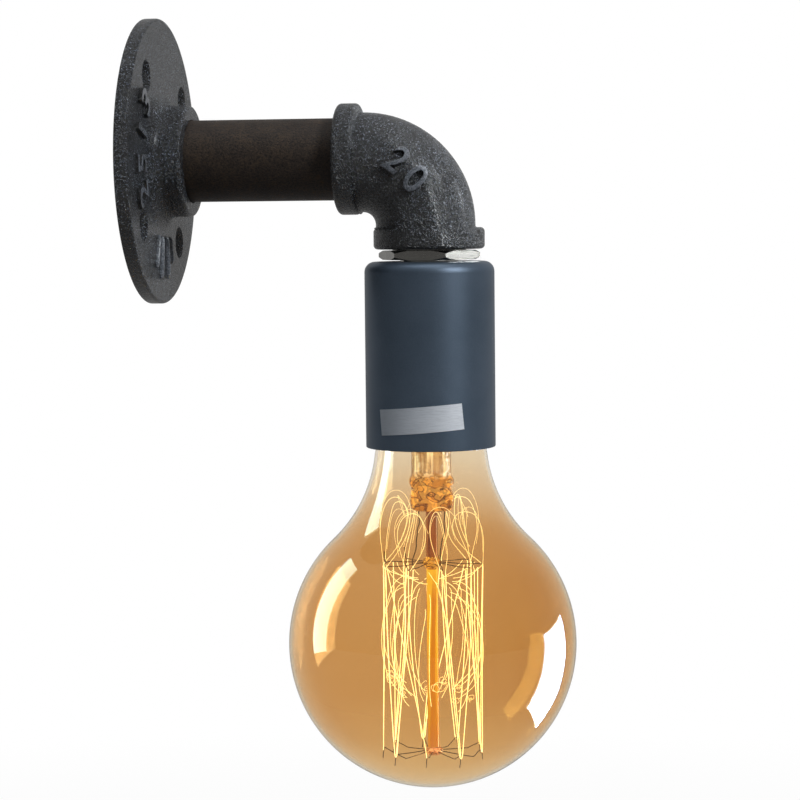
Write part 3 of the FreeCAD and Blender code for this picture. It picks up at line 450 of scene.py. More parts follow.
def litRod(name):
    # amber rod with a painted glow standing for the filament's light carried down its length; its edges and
    # the part above the upper button are darker, a painted shade
    finish = Finish(name, {"Transmission Weight": 0.15, "IOR": 1.5, "Emission Strength": 0.95})
    height = finish.place.part(2)
    streak = finish.noise(1.5, 2.0, 0.5, stretch=(1.0, 1.0, 0.04))
    edge = finish.facing(0.4)
    # painted glow along the rod, with bright painted streaks
    glow = height.span(lowerLevel, upperLevel).ramp(
        (0.0, rodTint.low), (0.16, rodTint.rich), (0.8, rodTint.rich), (0.97, rodTint.bright))
    lit = height.span(lowerLevel + 8.0 * mm, upperLevel - 18.0 * mm, 0.3, 1.0)
    glow = (streak.span(0.5, 0.56) * lit).mix(glow, rodTint.bright)
    # painted edge shade: the glow darkens where the rod turns away
    glow = edge.span(0.5, 0.8).mix(glow, rodTint.edge)
    # above the upper button a dimmer painted glow, darker again at the edges
    above = height.span(upperLevel - 0.5 * mm, upperLevel + 0.5 * mm)
    dim = streak.span(0.42, 0.58).mix(rodTint.topDark, rodTint.top)
    dim = edge.span(0.45, 0.8).mix(dim, rodTint.topDark)
    finish.feed("Emission Color", above.mix(glow, dim))
    # base colour darker above the upper button, a painted shade
    return finish.dress(above.mix(rodTint.glass, rodTint.glassTop), streak.span(0.3, 0.7, 0.05, 0.2),
                        streak, 0.15, 0.5)


filamentLook = Settings(hot=(1.0, 1.0, 0.8), warm=(1.0, 0.96, 0.6), cool=(0.6, 0.6, 0.4), strength=2.5)


def litFilament(name):
    # glows less in the free loops above the upper button
    finish = Finish(name, {"Emission Strength": filamentLook.strength})
    crimp = finish.noise(1.6, 3.0, 0.6)
    above = finish.place.part(2).span(upperLevel - 0.5 * mm, upperLevel + 3.0 * mm)
    glow = crimp.span(0.4, 0.6).mix(filamentLook.warm, filamentLook.hot)
    finish.feed("Emission Color", above.mix(glow, filamentLook.cool))
    return finish.dress(crimp.span(0.35, 0.65).mix(srgb(255, 200, 90), srgb(255, 235, 160)),
                        crimp.span(0.3, 0.7, 0.5, 0.7), crimp, 0.05, 0.5)


finishes = {
    "wall_flange": castIron("castFlange", (1.0, 1.03, 1.08)),
    "pipe_nipple": darkPipe("darkPipe"),
    "pipe_elbow": castIron("castElbow", (1.0, 0.99, 0.98)),
    "reducing_bush": platedSteel("nickelBush", srgb(150, 148, 143), 0.22),
    "cover_washer": platedSteel("nickelWasher", srgb(206, 204, 198), 0.16),
    "threaded_tube": platedSteel("zincTube", srgb(196, 200, 204), 0.32),
    "earth_tag": brassFinish("tinnedTag", srgb(206, 206, 200), 0.35),
    "tag_locknut": platedSteel("zincTagNut", srgb(200, 202, 200), 0.34),
    "lamp_cover": slatePaint("slatePaint"),
    "rating_label": labelFoil("labelFoil"),
    "star_washer": platedSteel("zincStarWasher", srgb(186, 190, 196), 0.38),
    "cover_locknut": platedSteel("zincCoverNut", srgb(204, 204, 200), 0.33),
    "holder_cap": mouldedPlastic("holderCapPlastic", srgb(22, 22, 24), 0.3),
    "grub_screw": platedSteel("blackGrub", srgb(90, 88, 86), 0.4, False),
    "holder_skirt": mouldedPlastic("holderSkirtPlastic", srgb(24, 24, 26), 0.28),
    "holder_core": steatite("steatiteCore"),
    "core_rivets": brassFinish("brassRivets"),
    "terminal_blocks": brassFinish("brassBlocks", srgb(220, 186, 112), 0.24),
    "clamp_screws": platedSteel("zincClampScrews", srgb(200, 200, 204), 0.3, False),
    "centre_contact": brassFinish("brassLeaf", srgb(224, 190, 120), 0.22),
    "screw_shell": brassFinish("brassShell", srgb(220, 184, 110), 0.26),
    "live_lead": insulation("brownInsulation", srgb(104, 64, 38)),
    "neutral_lead": insulation("blueInsulation", srgb(40, 84, 160)),
    "earth_lead": insulation("stripedInsulation", srgb(56, 130, 56), srgb(226, 206, 60)),
    "lead_ferrules": platedSteel("tinnedFerrules", srgb(206, 208, 208), 0.3, False),
    "lead_cores": strandedCopper("strandedCopper"),
    "glass_envelope": amberGlass("amberGlass"),
    "bulb_cap": brassFinish("goldCap", srgb(212, 184, 128), 0.32),
    "cap_insulator": plainFinish("blackVitrite", "vitrite"),
    "cap_contact": plainFinish("tipSolder", "solder"),
    "cap_cement": plainFinish("bakedCement", "cement"),
    # the stem and the buttons carry a painted glow
    "glass_stem": stemGlass("stemGlass", (0.95, 0.64, 0.22), (0.66, 0.3, 0.07), srgb(255, 190, 80),
                            5.0, 1.6, pinchTop),
    "stem_rod": litRod("litRod"),
    "upper_button": stemGlass("upperButtonGlass", (1.0, 0.8, 0.3), (0.9, 0.5, 0.12), srgb(255, 214, 90),
                              3.0, 0.8),
    "lower_button": stemGlass("lowerButtonGlass", (0.98, 0.72, 0.5), (0.9, 0.5, 0.3), srgb(255, 196, 150),
                              3.0, 0.8),
    "upper_supports": plainFinish("upperWire", "wire"),
    "lower_supports": plainFinish("lowerWire", "wire"),
    "lead_in_wires": plainFinish("leadInWire", "wire"),
    "filament": litFilament("litFilament"),
}
for node, finish in finishes.items():
    body = frame["nodes"][node]
    body.data.materials.clear()
    body.data.materials.append(finish.material)
print("stage: finishes set")


# mesh helpers
def addObject(name, data):
    made = bpy.data.objects.new(name, data)
    bpy.context.scene.collection.objects.link(made)
    return made


def addPiece(name, mesh, node, body="bulb", hide=True, smooth=True):
    # a piece in the node's finish, which stands for the node or beside it
    for polygon in mesh.polygons:
        polygon.use_smooth = smooth
    piece = addObject(name, mesh)
    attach(piece, body)
    mesh.materials.append(finishes[node].material)
    if hide:
        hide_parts(node)


def newMesh(name, verts, faces):
    mesh = bpy.data.meshes.new(name)
    mesh.from_pydata([tuple(v) for v in verts], [], faces)
    return mesh


def meshOf(curve):
    # what a curve or a text makes
    former = addObject(curve.name, curve)
    bpy.context.view_layer.update()
    mesh = bpy.data.meshes.new_from_object(former.evaluated_get(bpy.context.evaluated_depsgraph_get()))
    bpy.data.objects.remove(former)
    return mesh


def addMesh(name, verts, faces, node, hide=True):
    mesh = newMesh(name, verts, faces)
    mesh.validate()
    work = bmesh.new()
    work.from_mesh(mesh)
    bmesh.ops.recalc_face_normals(work, faces=work.faces)
    work.to_mesh(mesh)
    work.free()
    addPiece(name, mesh, node, hide=hide)


def addWires(name, routes, radius, node, hide=True, sides=2):
    # each route is a list of points, or of (point, thickness) pairs, that one smooth tube follows
    curve = bpy.data.curves.new(name, "CURVE")
    curve.dimensions = "3D"
    curve.bevel_depth = radius * mm
    curve.bevel_resolution = sides
    curve.resolution_u = 6
    curve.use_fill_caps = True
    for route in routes:
        spline = curve.splines.new("NURBS")
        spline.points.add(len(route) - 1)
        for point, target in zip(spline.points, route):
            place, point.radius = target if isinstance(target, tuple) else (target, 1.0)
            point.co = (*place, 1.0)
        spline.order_u = 3
        spline.use_endpoint_u = True
    mesh = meshOf(curve)
    mesh.materials.clear()
    addPiece(name, mesh, node, hide=hide)


def skin(rings, tips=(), closed=False):
    # joins equal rings of points; tips are the heights where the lamp's axis closes the ends
    verts = [p for ring in rings for p in ring]
    count, total = len(rings[0]), len(rings)
    faces = []
    for i in range(total if closed else total - 1):
        here, there = i * count, (i + 1) % total * count
        faces += [(here + k, here + (k + 1) % count, there + (k + 1) % count, there + k)
                  for k in range(count)]
    for start, z in zip((0, (total - 1) * count), tips):
        faces += [(start + k, start + (k + 1) % count, len(verts)) for k in range(count)]
        verts.append(Vector((lampX, 0.0, z)))
    return verts, faces


def turns(count):
    return [2 * pi * k / count for k in range(count)]


def lampRing(radius, z, count):
    return [Vector((lampX + radius * cos(a), radius * sin(a), z)) for a in turns(count)]


def around(radius, degrees, level, rise=0.0):
    # a point about the lamp's axis, with its radius and rise in millimetres
    turn = radians(degrees)
    return Vector((lampX + radius * mm * cos(turn), radius * mm * sin(turn), level + rise * mm))


def bent(turn, level, *stations):
    # a route through stations of radius, degrees past the turn and rise above the level
    return [around(radius, turn + degrees, level, rise) for radius, degrees, rise in stations]


# glass envelope
envelope = Settings(
    radius=(envelopeHigh.x - envelopeLow.x) / 2,
    neck=18.2 * mm,
    shoulder=4.6 * mm,
    blend=46.0 * mm,
    wall=0.9 * mm,
    throat=11.2 * mm,
    sides=160,
    shoulderSteps=10,
    blendSteps=26,
    globeSteps=70,
)
globeZ = envelopeLow.z + envelope.radius


def arc(centreR, centreZ, radius, start, end, steps):
    # points of radius and height along an arc, without its first
    angles = (start + (end - start) * k / steps for k in range(1, steps + 1))
    return [(centreR + radius * cos(a), centreZ + radius * sin(a)) for a in angles]


def envelopeOutline(inset):
    # radius and height from the throat down to just above the foot, and the foot's height
    throat, rim = envelope.throat - inset, capRim - inset
    globe, blend = envelope.radius - inset, envelope.blend + inset
    blendR = envelope.neck + envelope.blend
    blendZ = globeZ + math.sqrt((envelope.radius + envelope.blend) ** 2 - blendR ** 2)
    shoulder = envelope.shoulder - inset
    shoulderR, shoulderZ = envelope.neck - envelope.shoulder, capRim - envelope.shoulder
    slope = math.asin((blendZ - shoulderZ) / blend)
    join = math.atan2(blendZ - globeZ, blendR)
    points = [(throat, envelopeHigh.z), (throat, rim), (shoulderR, rim)]
    points += arc(shoulderR, shoulderZ, shoulder, pi / 2, 0.0, envelope.shoulderSteps)
    points += arc(blendR, blendZ, blend, pi + slope, pi + join, envelope.blendSteps)
    points += arc(0.0, globeZ, globe, join, -pi / 2, envelope.globeSteps)[:-1]
    return points, globeZ - globe


def makeEnvelope():
    outer, outerFoot = envelopeOutline(0.0)
    inner, innerFoot = envelopeOutline(envelope.wall)
    rings = [lampRing(r, z, envelope.sides) for r, z in outer[::-1] + inner]
    addMesh("blown_envelope", *skin(rings, (outerFoot, innerFoot)), "glass_envelope")


makeEnvelope()
print("stage: envelope blown")


# stem, pinch and exhaust tube
stemLook = Settings(
    wall=1.1 * mm,
    sides=72,
    tubeSteps=12,
    tubeEnd=2.4 * mm,      # above the pinch's top
    pinchSteps=4,
    sag=0.012,             # the tube's unevenness, as a share
    melt=0.05,             # the press's
    ripple=210.0,          # how close it lies
    # the flare down to the tube: radius, and drop below the stem's top
    flare=[(9.8, 0.0), (10.0, 0.5), (9.6, 1.2), (7.9, 2.2), (6.9, 3.4), (6.6, 5.0)],
    # drop below the pinch's top, half width, half depth, squareness
    pinch=[(-2.0, 6.6, 6.6, 2.0), (-0.6, 6.75, 5.6, 2.1), (0.6, 7.4, 4.4, 2.3), (2.0, 7.5, 3.6, 2.6),
              (3.4, 6.7, 3.0, 2.9), (4.8, 6.9, 2.8, 3.0), (6.4, 7.2, 2.8, 3.2), (8.2, 7.3, 2.7, 3.2),
              (9.8, 7.1, 2.6, 3.0), (11.0, 6.3, 2.2, 2.8), (11.5, 4.6, 1.4, 2.4)],
)
stemTop = lowHigh("glass_stem")[1].z


def squareRing(halfX, halfY, power, z, wobble):
    ring = []
    for a in turns(stemLook.sides):
        c, s = cos(a), sin(a)
        x = halfX * math.copysign(abs(c) ** (2 / power), c)
        y = halfY * math.copysign(abs(s) ** (2 / power), s)
        push = noise.noise(Vector((x, y, z)) * stemLook.ripple) * wobble
        ring.append(Vector((lampX + x * (1 + push), y * (1 + push), z)))
    return ring


def pressRing(station, wobble):
    drop, halfX, halfY, power = station
    return squareRing(halfX * mm, halfY * mm, power, pinchTop - drop * mm, wobble)


def makeStem():
    outer = [(r * mm, stemTop - drop * mm) for r, drop in stemLook.flare]
    tube, start = outer[-1]
    run, steps = pinchTop + stemLook.tubeEnd - start, stemLook.tubeSteps
    outer += [(tube, start + run * k / steps) for k in range(1, steps + 1)]
    inner = [(r - stemLook.wall, z) for r, z in outer]
    rings = [squareRing(r, r, 2.0, z, stemLook.sag) for r, z in inner[::-1] + outer]
    table, steps = stemLook.pinch, stemLook.pinchSteps
    for a, b in zip(table, table[1:]):
        rings += [pressRing([p + (q - p) * k / steps for p, q in zip(a, b)], stemLook.melt)
                  for k in range(steps)]
    rings.append(pressRing(table[-1], 0.0))
    addMesh("pressed_stem", *skin(rings, (pinchTop, pinchTop - table[-1][0] * mm)), "glass_stem")


exhaustTube = Settings(radius=1.5 * mm, above=1.2 * mm, sides=28)


def makeExhaustTube():
    # the closed end of the pumping tube, seen inside the stem
    low = pinchTop + exhaustTube.above
    outline = ((0.6, stemTop - 0.3 * mm), (1.0, stemTop - 0.6 * mm), (1.0, low + 1.0 * mm),
               (0.8, low + 0.3 * mm), (1 / 3, low))
    rings = [lampRing(share * exhaustTube.radius, z, exhaustTube.sides) for share, z in outline]
    addMesh("exhaust_tube", *skin(rings, (stemTop - 0.25 * mm, low)), "glass_stem", hide=False)


makeStem()
makeExhaustTube()


# rod and buttons
rod = Settings(radius=2.0 * mm, swell=0.025, ripple=140.0, foot=0.75, steps=40, sides=36)
bead = Settings(bore=rod.radius + 0.02 * mm, grip=0.05 * mm, steps=16, sides=48, ripple=500.0)


def makeBead(name, node, squash, wobble):
    low, high = lowHigh(node)
    centre, half = (low.z + high.z) / 2, (high.z - low.z) / 2
    radius = (high.x - low.x) / 2

    def melted(p):
        x, y = (1 + wobble * noise.noise(p * bead.ripple + Vector(s)) for s in ((0, 0, 0), (3, 1, 2)))
        return Vector((lampX + (p.x - lampX) * x, p.y * y, p.z))

    rings = []
    for k in range(bead.steps + 1):
        a = pi / 2 - pi * k / bead.steps
        r = max(bead.bore, radius * abs(cos(a)) ** squash)
        rings.append([melted(p) for p in lampRing(r, centre + half * sin(a), bead.sides)])
    rings += [lampRing(bead.bore - bead.grip, z, bead.sides) for z in (centre - half, centre + half)]
    addMesh(name, *skin(rings, closed=True), node)


def makeRod():
    low, high = lowHigh("stem_rod")
    rings = []
    for k in range(rod.steps + 1):
        z = high.z + (low.z - high.z) * k / rod.steps
        swell = 1.0 - rod.swell + rod.swell * noise.noise(Vector((0.0, 0.0, z * rod.ripple)))
        rings.append(lampRing(rod.radius * swell, z, rod.sides))
    rings.append(lampRing(rod.radius * rod.foot, low.z, rod.sides))
    addMesh("drawn_rod", *skin(rings, (high.z, low.z)), "stem_rod")


makeBead("upper_bead", "upper_button", 0.75, 0.03)
makeBead("lower_bead", "lower_button", 0.6, 0.04)
makeRod()
print("stage: stem, rod and beads made")


# supports, lead-in wires and filament, in millimetres and degrees
cage = Settings(
    count=9,
    ring=16.2,
    first=-70.0,            # first upper hook, from +X
    wire=0.15,
    hook=2.7,
    strand=0.13,
    wisp=0.075,
    hair=0.05,
    petal=0.62,             # the strand's thickness in the free loops, as a share
    clear=0.5,
    garlands=14,
    bows=22,
    arches=6,
    curls=9,
    curlPoints=22,
    seed=7,
)
ring, count, step = cage.ring, cage.count, 360.0 / cage.count
orbit = ring + cage.clear
waist = (upperLevel + lowerLevel) / 2


def draws(offset=0):
    return random.Random(cage.seed + offset)


def hookTurn(i):
    # upper hooks at whole numbers, lower hooks half-way between them
    return cage.first + step * i


def makeSupports():
    draw = draws().uniform
    routes = []
    for i in range(count):
        sag, lean, tip = draw(-0.7, 0.4), draw(-4.0, 4.0), draw(0.6, 1.15)
        routes.append(bent(
            hookTurn(i), upperLevel, (2.6, 0, 0), (5.0, lean * 0.2, 0.1), (10.5, -lean * 0.5, sag),
            (ring - 1.2, 0, 0.6 * sag), (ring - 0.3, 0, -0.5), (ring + 0.2, 0, -0.7),
            (ring + 0.5, lean * 0.4, 0.5), (ring + 0.6, lean * 1.2, cage.hook * tip)))
    addWires("upper_hooks", routes, cage.wire, "upper_supports")
    draw = draws(1).uniform
    routes = []
    for i in range(count):
        sag, lean = draw(-1.3, 0.3), draw(-5.0, 5.0)
        knee, tip = draw(11.5, 14.0), draw(0.8, 1.2)
        routes.append(bent(
            hookTurn(i + 0.5), lowerLevel, (2.6, 0, 0), (6.0, lean * 0.3, sag * 0.5),
            (knee - 0.7, lean, sag), (knee, lean, sag), (knee + 0.5, lean * 0.8, sag + 0.4),
            (ring - 0.5, 0, 0.9), (ring + 0.1, 0, 1.2), (ring + 0.5, 0, 0.7),
            (ring + 0.7, -lean * 0.5, -cage.hook * tip * 0.9)))
    addWires("lower_hooks", routes, cage.wire, "lower_supports")


leadIns = Settings(wire=0.19, apart=4.3, foot=11.2, straight=2.0, beside=math.degrees(0.9 / ring))


def makeLeadIns():
    # from the pinch out to the end hooks, and up through the stem, both a little crimped
    draw = draws().uniform
    foot, straight = pinchTop - leadIns.foot * mm, leadIns.straight * mm
    heights = (foot + 0.3 * mm, foot + 4.0 * mm, foot + 8.0 * mm, pinchTop + 1.5 * mm, pinchTop + 5.0 * mm,
               pinchTop + 9.0 * mm, pinchTop + 13.0 * mm, capRim + 5.0 * mm)
    routes = []
    for side, turn in ((1, hookTurn(0) - leadIns.beside), (-1, hookTurn(count - 1) + leadIns.beside)):
        start = Vector((lampX + side * leadIns.apart * mm, 0.0, foot))
        end = around(ring - 0.9, turn, upperLevel, 1.0)
        route = [start, start - Vector((0, 0, straight))]
        for k in range(1, 8):
            t = k / 8
            route.append(Vector((start.x + (end.x - start.x) * t * t + draw(-0.5, 0.5) * mm,
                                 (end.y - start.y) * t ** 1.8 + draw(-0.35, 0.35) * mm,
                                 start.z - straight + (end.z - start.z + straight) * t ** 0.9)))
        routes.append(route + [end])
        routes.append([Vector((lampX + side * leadIns.apart * share * mm, draw(-0.5, 0.5) * mm, z))
                       for share, z in zip((0.9, 0.97, 0.86, 1.02, 1.15, 0.95, 1.05, 1.0), heights)])
    addWires("crimped_lead_ins", routes, leadIns.wire, "lead_in_wires")


def petalPoints(turn, draw, spread, tall):
    # one free loop above an upper hook, out along one side, over and down the other
    rise = (22.5 if tall else 18.0) * draw(0.9, 1.07)
    half = draw(11.0, 17.0)
    inner = draw(6.8, 9.4)
    return bent(
        turn, upperLevel, (orbit, -spread, -0.6), (orbit + 0.3, -half * 0.5, rise * 0.2),
        (orbit + 0.7, -half * 0.9, rise * 0.5), (orbit + draw(-0.8, 0.2), -half, rise * 0.8),
        (orbit - 2.6, -half * 0.7, rise * 1.02), (inner + 2.0, -half * 0.1, rise * 1.03),
        (inner, half * 0.7, rise * 0.82), (inner + draw(0.0, 1.4), half * 1.1, rise * 0.55),
        (inner + 3.6, half * 0.9, rise * 0.25), (orbit, spread, -0.6))


def filamentRoute():
    # down past a lower hook, up past an upper hook and over in a loose arch, all the way round
    draw = draws(5).uniform
    spread = math.degrees(0.8 / ring)
    foot = lowerLevel + 0.5 * mm
    half = (upperLevel + foot) / 2
    points = []
    for i in range(count):
        upper, lower, following = hookTurn(i), hookTurn(i + 0.5), hookTurn(i + 1)
        points += [(point, cage.petal) for point in petalPoints(upper, draw, spread, i % 2)]
        if i < count - 1:
            bow = draw(-1.2, 0.3)
            points += bent(upper, upperLevel, (orbit + 0.1, spread, -1.6), (orbit, spread * 1.2, -4.0))
            points += bent((upper + lower) / 2, half, (orbit + bow, -draw(3.0, 9.0), 6.0))
            points += bent(lower, foot, (orbit, -spread * 1.1, 4.0), (orbit, -spread * 0.8, 0.8),
                           (orbit + 0.1, 0, -0.5), (orbit, spread * 0.8, 0.8), (orbit, spread * 1.1, 4.0))
            points += bent((lower + following) / 2, half, (orbit + bow * 0.7, draw(3.0, 9.0), 4.0))
            points += bent(following, upperLevel, (orbit, -spread * 1.2, -4.0), (orbit + 0.1, -spread, -1.6))
    return points


def hairRoutes():
    # finer copies of the free loops, and thin arcs that cross over the top of the cage
    draw = draws(23).uniform
    routes = []
    for i in range(count):
        turn = hookTurn(i) + draw(-6.0, 6.0)
        routes.append(petalPoints(turn, draw, draw(3.0, 6.0), i % 2)[1:-1])
    for i in range(cage.arches):
        turn = 360.0 / cage.arches * i + draw(-10.0, 10.0)
        top = upperLevel + draw(17.0, 24.5) * mm
        wide = draw(22.0, 40.0)
        routes.append(bent(
            turn, top, (13.5, -wide, -draw(6.0, 10.0)), (13.0, -wide * 0.6, -1.5),
            (11.5, -wide * 0.1, 0), (10.0, wide * 0.5, -1.5), (10.5, wide, -draw(5.0, 9.0))))
    return routes


def slantRoutes():
    # long strands that run from one hook to a farther one
    chance = draws(17)
    draw = chance.uniform
    routes = []
    for i in range(count):
        upper = hookTurn(i) + draw(-3.0, 3.0)
        lower = hookTurn(i + 0.5) + (step if i % 2 else -step) * chance.choice((1, 1, 0))
        top = ring - draw(0.3, 2.8)
        routes.append(bent(upper, upperLevel, (top, 0, -draw(0.0, 2.0)), (top - 0.2, 0, -3.5))
                      + bent(lower, lowerLevel, (ring + 0.1, 0, 4.0), (ring + 0.3, 0, 0.6)))
    return routes


def wispRoutes():
    # fine spread-out hairs of the strand: garlands at the hooks and bows at mid height
    draw = draws(11).uniform
    routes = []
    for i in range(cage.garlands):
        turn = 360.0 / cage.garlands * i + draw(-8.0, 8.0)
        deep, near = draw(3.5, 7.5), draw(5.0, 10.0)
        routes.append(bent(turn, upperLevel, (ring + 0.2, -14, -1.0), (14.5, -9, -deep * 0.6),
                           (near + 2.0, 0, -deep), (near, 8, -deep * 1.02)))
    for i in range(cage.bows):
        turn = 360.0 / cage.bows * i + draw(-7.0, 7.0)
        level = waist + draw(3.0, 9.0) * mm
        out, near = draw(15.2, 17.9), draw(6.0, 10.5)
        tall, swing = draw(14.0, 19.0), draw(-16.0, 16.0)
        routes.append(bent(
            turn, level, (near, -5, tall), (near + 3.5, 0, tall * 0.93), (out - 2.2, swing * 0.3, tall * 0.6),
            (out, swing * 0.6, tall * 0.15), (out + 0.1, swing * 0.8, -tall * 0.35),
            (out - 2.0, swing, -tall * 0.78), (near + 3.0, swing, -tall * 1.02),
            (near + 0.8, swing * 1.1, -tall * 1.12)))
    return routes


def curlRoutes():
    # broken ends that coil up on themselves
    draw = draws(31).uniform
    routes = []
    for i in range(cage.curls):
        turn = 360.0 / cage.curls * i + draw(-12.0, 12.0)
        centre = around(draw(11.0, 15.0), turn, waist, -draw(8.0, 15.0))
        size = draw(1.0, 2.2) * mm
        phase = draw(0.0, 6.0)
        drift = Vector([draw(-1, 1) for _ in range(3)]) * 0.35 * mm
        route = []
        for k in range(cage.curlPoints):
            a = phase + k * 0.62 + draw(-0.35, 0.35)
            grow = 1.0 - 0.028 * k + draw(-0.25, 0.25)
            route.append(centre + Vector((cos(a) * size * grow, sin(a * 0.9 + 1.0) * size * 0.7,
                                          sin(a) * size * grow * 0.8)) + drift * (k / 3))
        routes.append(route)
    return routes


makeSupports()
makeLeadIns()
addWires("caged_filament", [filamentRoute()] + slantRoutes(), cage.strand, "filament")
addWires("filament_wisps", wispRoutes(), cage.wisp, "filament", hide=False, sides=1)
addWires("filament_hairs", hairRoutes() + curlRoutes(), cage.hair, "filament", hide=False, sides=1)
print("stage: filament wound")


# cast marks; the draft's bevel adds to the numerals' height and sink; the marks' tops take a lighter finish,
# a painted light, and the numerals' sides a dark one, a painted shade
markLook = Settings(height=1.0 * mm, sink=0.3 * mm, draft=0.32 * mm, merge=0.01 * mm, edge=0.6 * mm)
markLook.middle = (markLook.height - markLook.sink) / 2
elbowMark = Settings(
    text="20",
    size=12.5 * mm,
    spacing=1.35,
    turn=radians(47),
    lean=radians(13),
    tilt=radians(-3),
    bend=21.6 * mm,         # the elbow's bend, the numerals' path inside it and the body's radius
    path=20.5 * mm,
    body=16.3 * mm,
)
flangeMarks = Settings(
    face=4.5 * mm,
    size=15.0 * mm,
    radius=31.0,            # of the numerals' middles, in millimetres
    # text and degrees; then each bar's degrees, length and radius
    numerals=(("3", 144.0), ("1", 163.0), ("5", 182.0), ("2", 200.0)),
    bars=((-108.0, 11.0, 31.0), (-98.0, 14.0, 32.0), (-84.0, 14.0, 32.0), (-75.0, 9.0, 30.5)),
    barWidth=2.0 * mm,
    barEnd=0.55,            # the width and height of a bar's ends, as a share
)
# a dark copy of the cast iron for the numerals' sides, a painted shade, and a lighter copy for the marks'
# tops, a painted light
paintedShadeFinish = castIron("castRoot", (0.16, 0.16, 0.17))
paintedLightFinish = castIron("castFace", look={**castLook, "depth": 0.25, "dark": srgb(70, 73, 79),
                                        "light": srgb(106, 110, 118), "bright": srgb(112, 117, 126)})


def numeralMesh(text, size, spacing=1.0):
    # flat built-in numerals as a mesh in the XY plane, centred
    curve = bpy.data.curves.new("numeralOutline", "FONT")
    curve.body = text
    curve.size = size
    curve.align_x = "CENTER"
    curve.align_y = "CENTER"
    curve.extrude = (markLook.height + markLook.sink) / 2
    curve.offset = -markLook.draft * 0.25
    curve.bevel_depth = markLook.draft
    curve.bevel_resolution = 1
    curve.space_character = spacing
    mesh = meshOf(curve)
    work = bmesh.new()
    work.from_mesh(mesh)
    bmesh.ops.remove_doubles(work, verts=work.verts, dist=markLook.merge)
    for _ in range(2):
        longEdges = [e for e in work.edges if e.calc_length() > markLook.edge]
        bmesh.ops.subdivide_edges(work, edges=longEdges, cuts=1)
    bmesh.ops.triangulate(work, faces=work.faces)
    work.normal_update()
    for face in work.faces:
        # the sides take the second finish, the painted shade
        face.material_index = int(abs(face.normal.z) < 0.8)
    work.to_mesh(mesh)
    work.free()
    return mesh


def barMesh(length):
    # a rounded cast bar, pointing along Y
    steps, sides = 10, 12
    rings = []
    for k in range(steps + 1):
        y = -length / 2 + length * k / steps
        narrow = 1.0 if 0 < k < steps else flangeMarks.barEnd
        half, high = flangeMarks.barWidth / 2 * narrow, markLook.height * narrow
        rings.append([Vector((half * cos(a), y, high * sin(a) - markLook.sink)) for a in turns(sides)])
    verts, faces = skin(rings)
    faces += [tuple(range(sides))[::-1], tuple(steps * sides + s for s in range(sides))]
    return newMesh("castBar", verts, faces)


def onElbow(point):
    # wraps flat x, y, height on the elbow's bend, seen from the -Y side
    path, body = elbowMark.path, elbowMark.body
    c, s = cos(elbowMark.tilt), sin(elbowMark.tilt)
    u, v = point.x * c - point.y * s, point.x * s + point.y * c
    lean = elbowMark.lean + v / body
    turn = elbowMark.turn - u / (path + body * sin(lean))
    lift = body + point.z + markLook.middle
    radial = path + lift * sin(lean)
    return Vector((lampX - elbowMark.bend + radial * cos(turn), -lift * cos(lean),
                   -elbowMark.bend + radial * sin(turn)))


def onFlange(radius, degrees):
    # wraps flat x, y, height round the flange's front face, heads outward
    def mapping(point):
        turn = radians(degrees) - point.x / (radius * mm)
        out = radius * mm + point.y
        lift = point.z + markLook.middle
        return Vector((flangeMarks.face + lift, out * cos(turn), out * sin(turn)))
    return mapping


def placeMark(name, mesh, node, body, mapping):
    for vertex in mesh.vertices:
        vertex.co = mapping(vertex.co)
    addPiece(name, mesh, node, body, hide=False, smooth=False)
    # tops in the painted light finish, sides in the painted shade finish
    mesh.materials[0] = paintedLightFinish.material
    mesh.materials.append(paintedShadeFinish.material)


placeMark("elbow_numerals", numeralMesh(elbowMark.text, elbowMark.size, elbowMark.spacing),
          "pipe_elbow", "arm", onElbow)
for k, (text, degrees) in enumerate(flangeMarks.numerals):
    placeMark("flange_numerals_" + str(k + 1), numeralMesh(text, flangeMarks.size), "wall_flange", "base",
              onFlange(flangeMarks.radius, degrees))
for k, (degrees, length, radius) in enumerate(flangeMarks.bars):
    placeMark("flange_bar_" + str(k + 1), barMesh(length * mm), "wall_flange", "base",
              onFlange(radius, degrees))
print("stage: cast marks raised")


# studio
studio = Settings(
    ambient=(0.03, 0.12, 0.3),     # from below, level and above
    room=(0.03, 0.08, 0.45),       # what polished surfaces see behind the camera: below, level, above
    behind=0.45,                   # what they see behind the light
    heights=(-0.7, 0.8),           # how far below and above the levels are reached
    turning=(-0.15, 0.35),         # where the room gives way to what is behind the light
    floor=-0.42,
    floorHalf=6.0,
    floorShade=0.12,
    floorFade=(0.25, 1.1),         # where the floor starts to fade to white, and where it has
)
# from: degrees to the right of the camera's side, degrees up and metres away; shift: millimetres
lamps = {
    "keyRight": {"radiance": 5.0, "size": (0.7, 0.8), "from": (56, 28, 1.2)},
    "topSoft": {"radiance": 1.5, "size": (0.9, 0.7), "from": (10, 80, 1.1)},
    "ironKey": {"radiance": 60.0, "size": (0.24, 0.24), "from": (62, 36, 1.1), "colour": (0.93, 0.98, 1.0)},
    "sideRight": {"radiance": 62.0, "size": (0.14, 0.36), "from": (108, 16, 1.0),
                  "colour": (0.92, 0.97, 1.0)},
    "windowLeft": {"radiance": 12.0, "size": (0.31, 0.92), "from": (-98.0, 17.5, 1.0),
                   "colour": (0.62, 0.88, 0.8), "roll": 12.0, "shift": (-5.0, -40.0, 10.0)},
    "windowRight": {"radiance": 22.0, "size": (0.225, 0.36), "from": (124.5, -20.6, 0.4),
                    "colour": (0.6, 0.85, 1.3), "roll": 4.6, "shift": (25.5, -37.0, 0.0)},
}


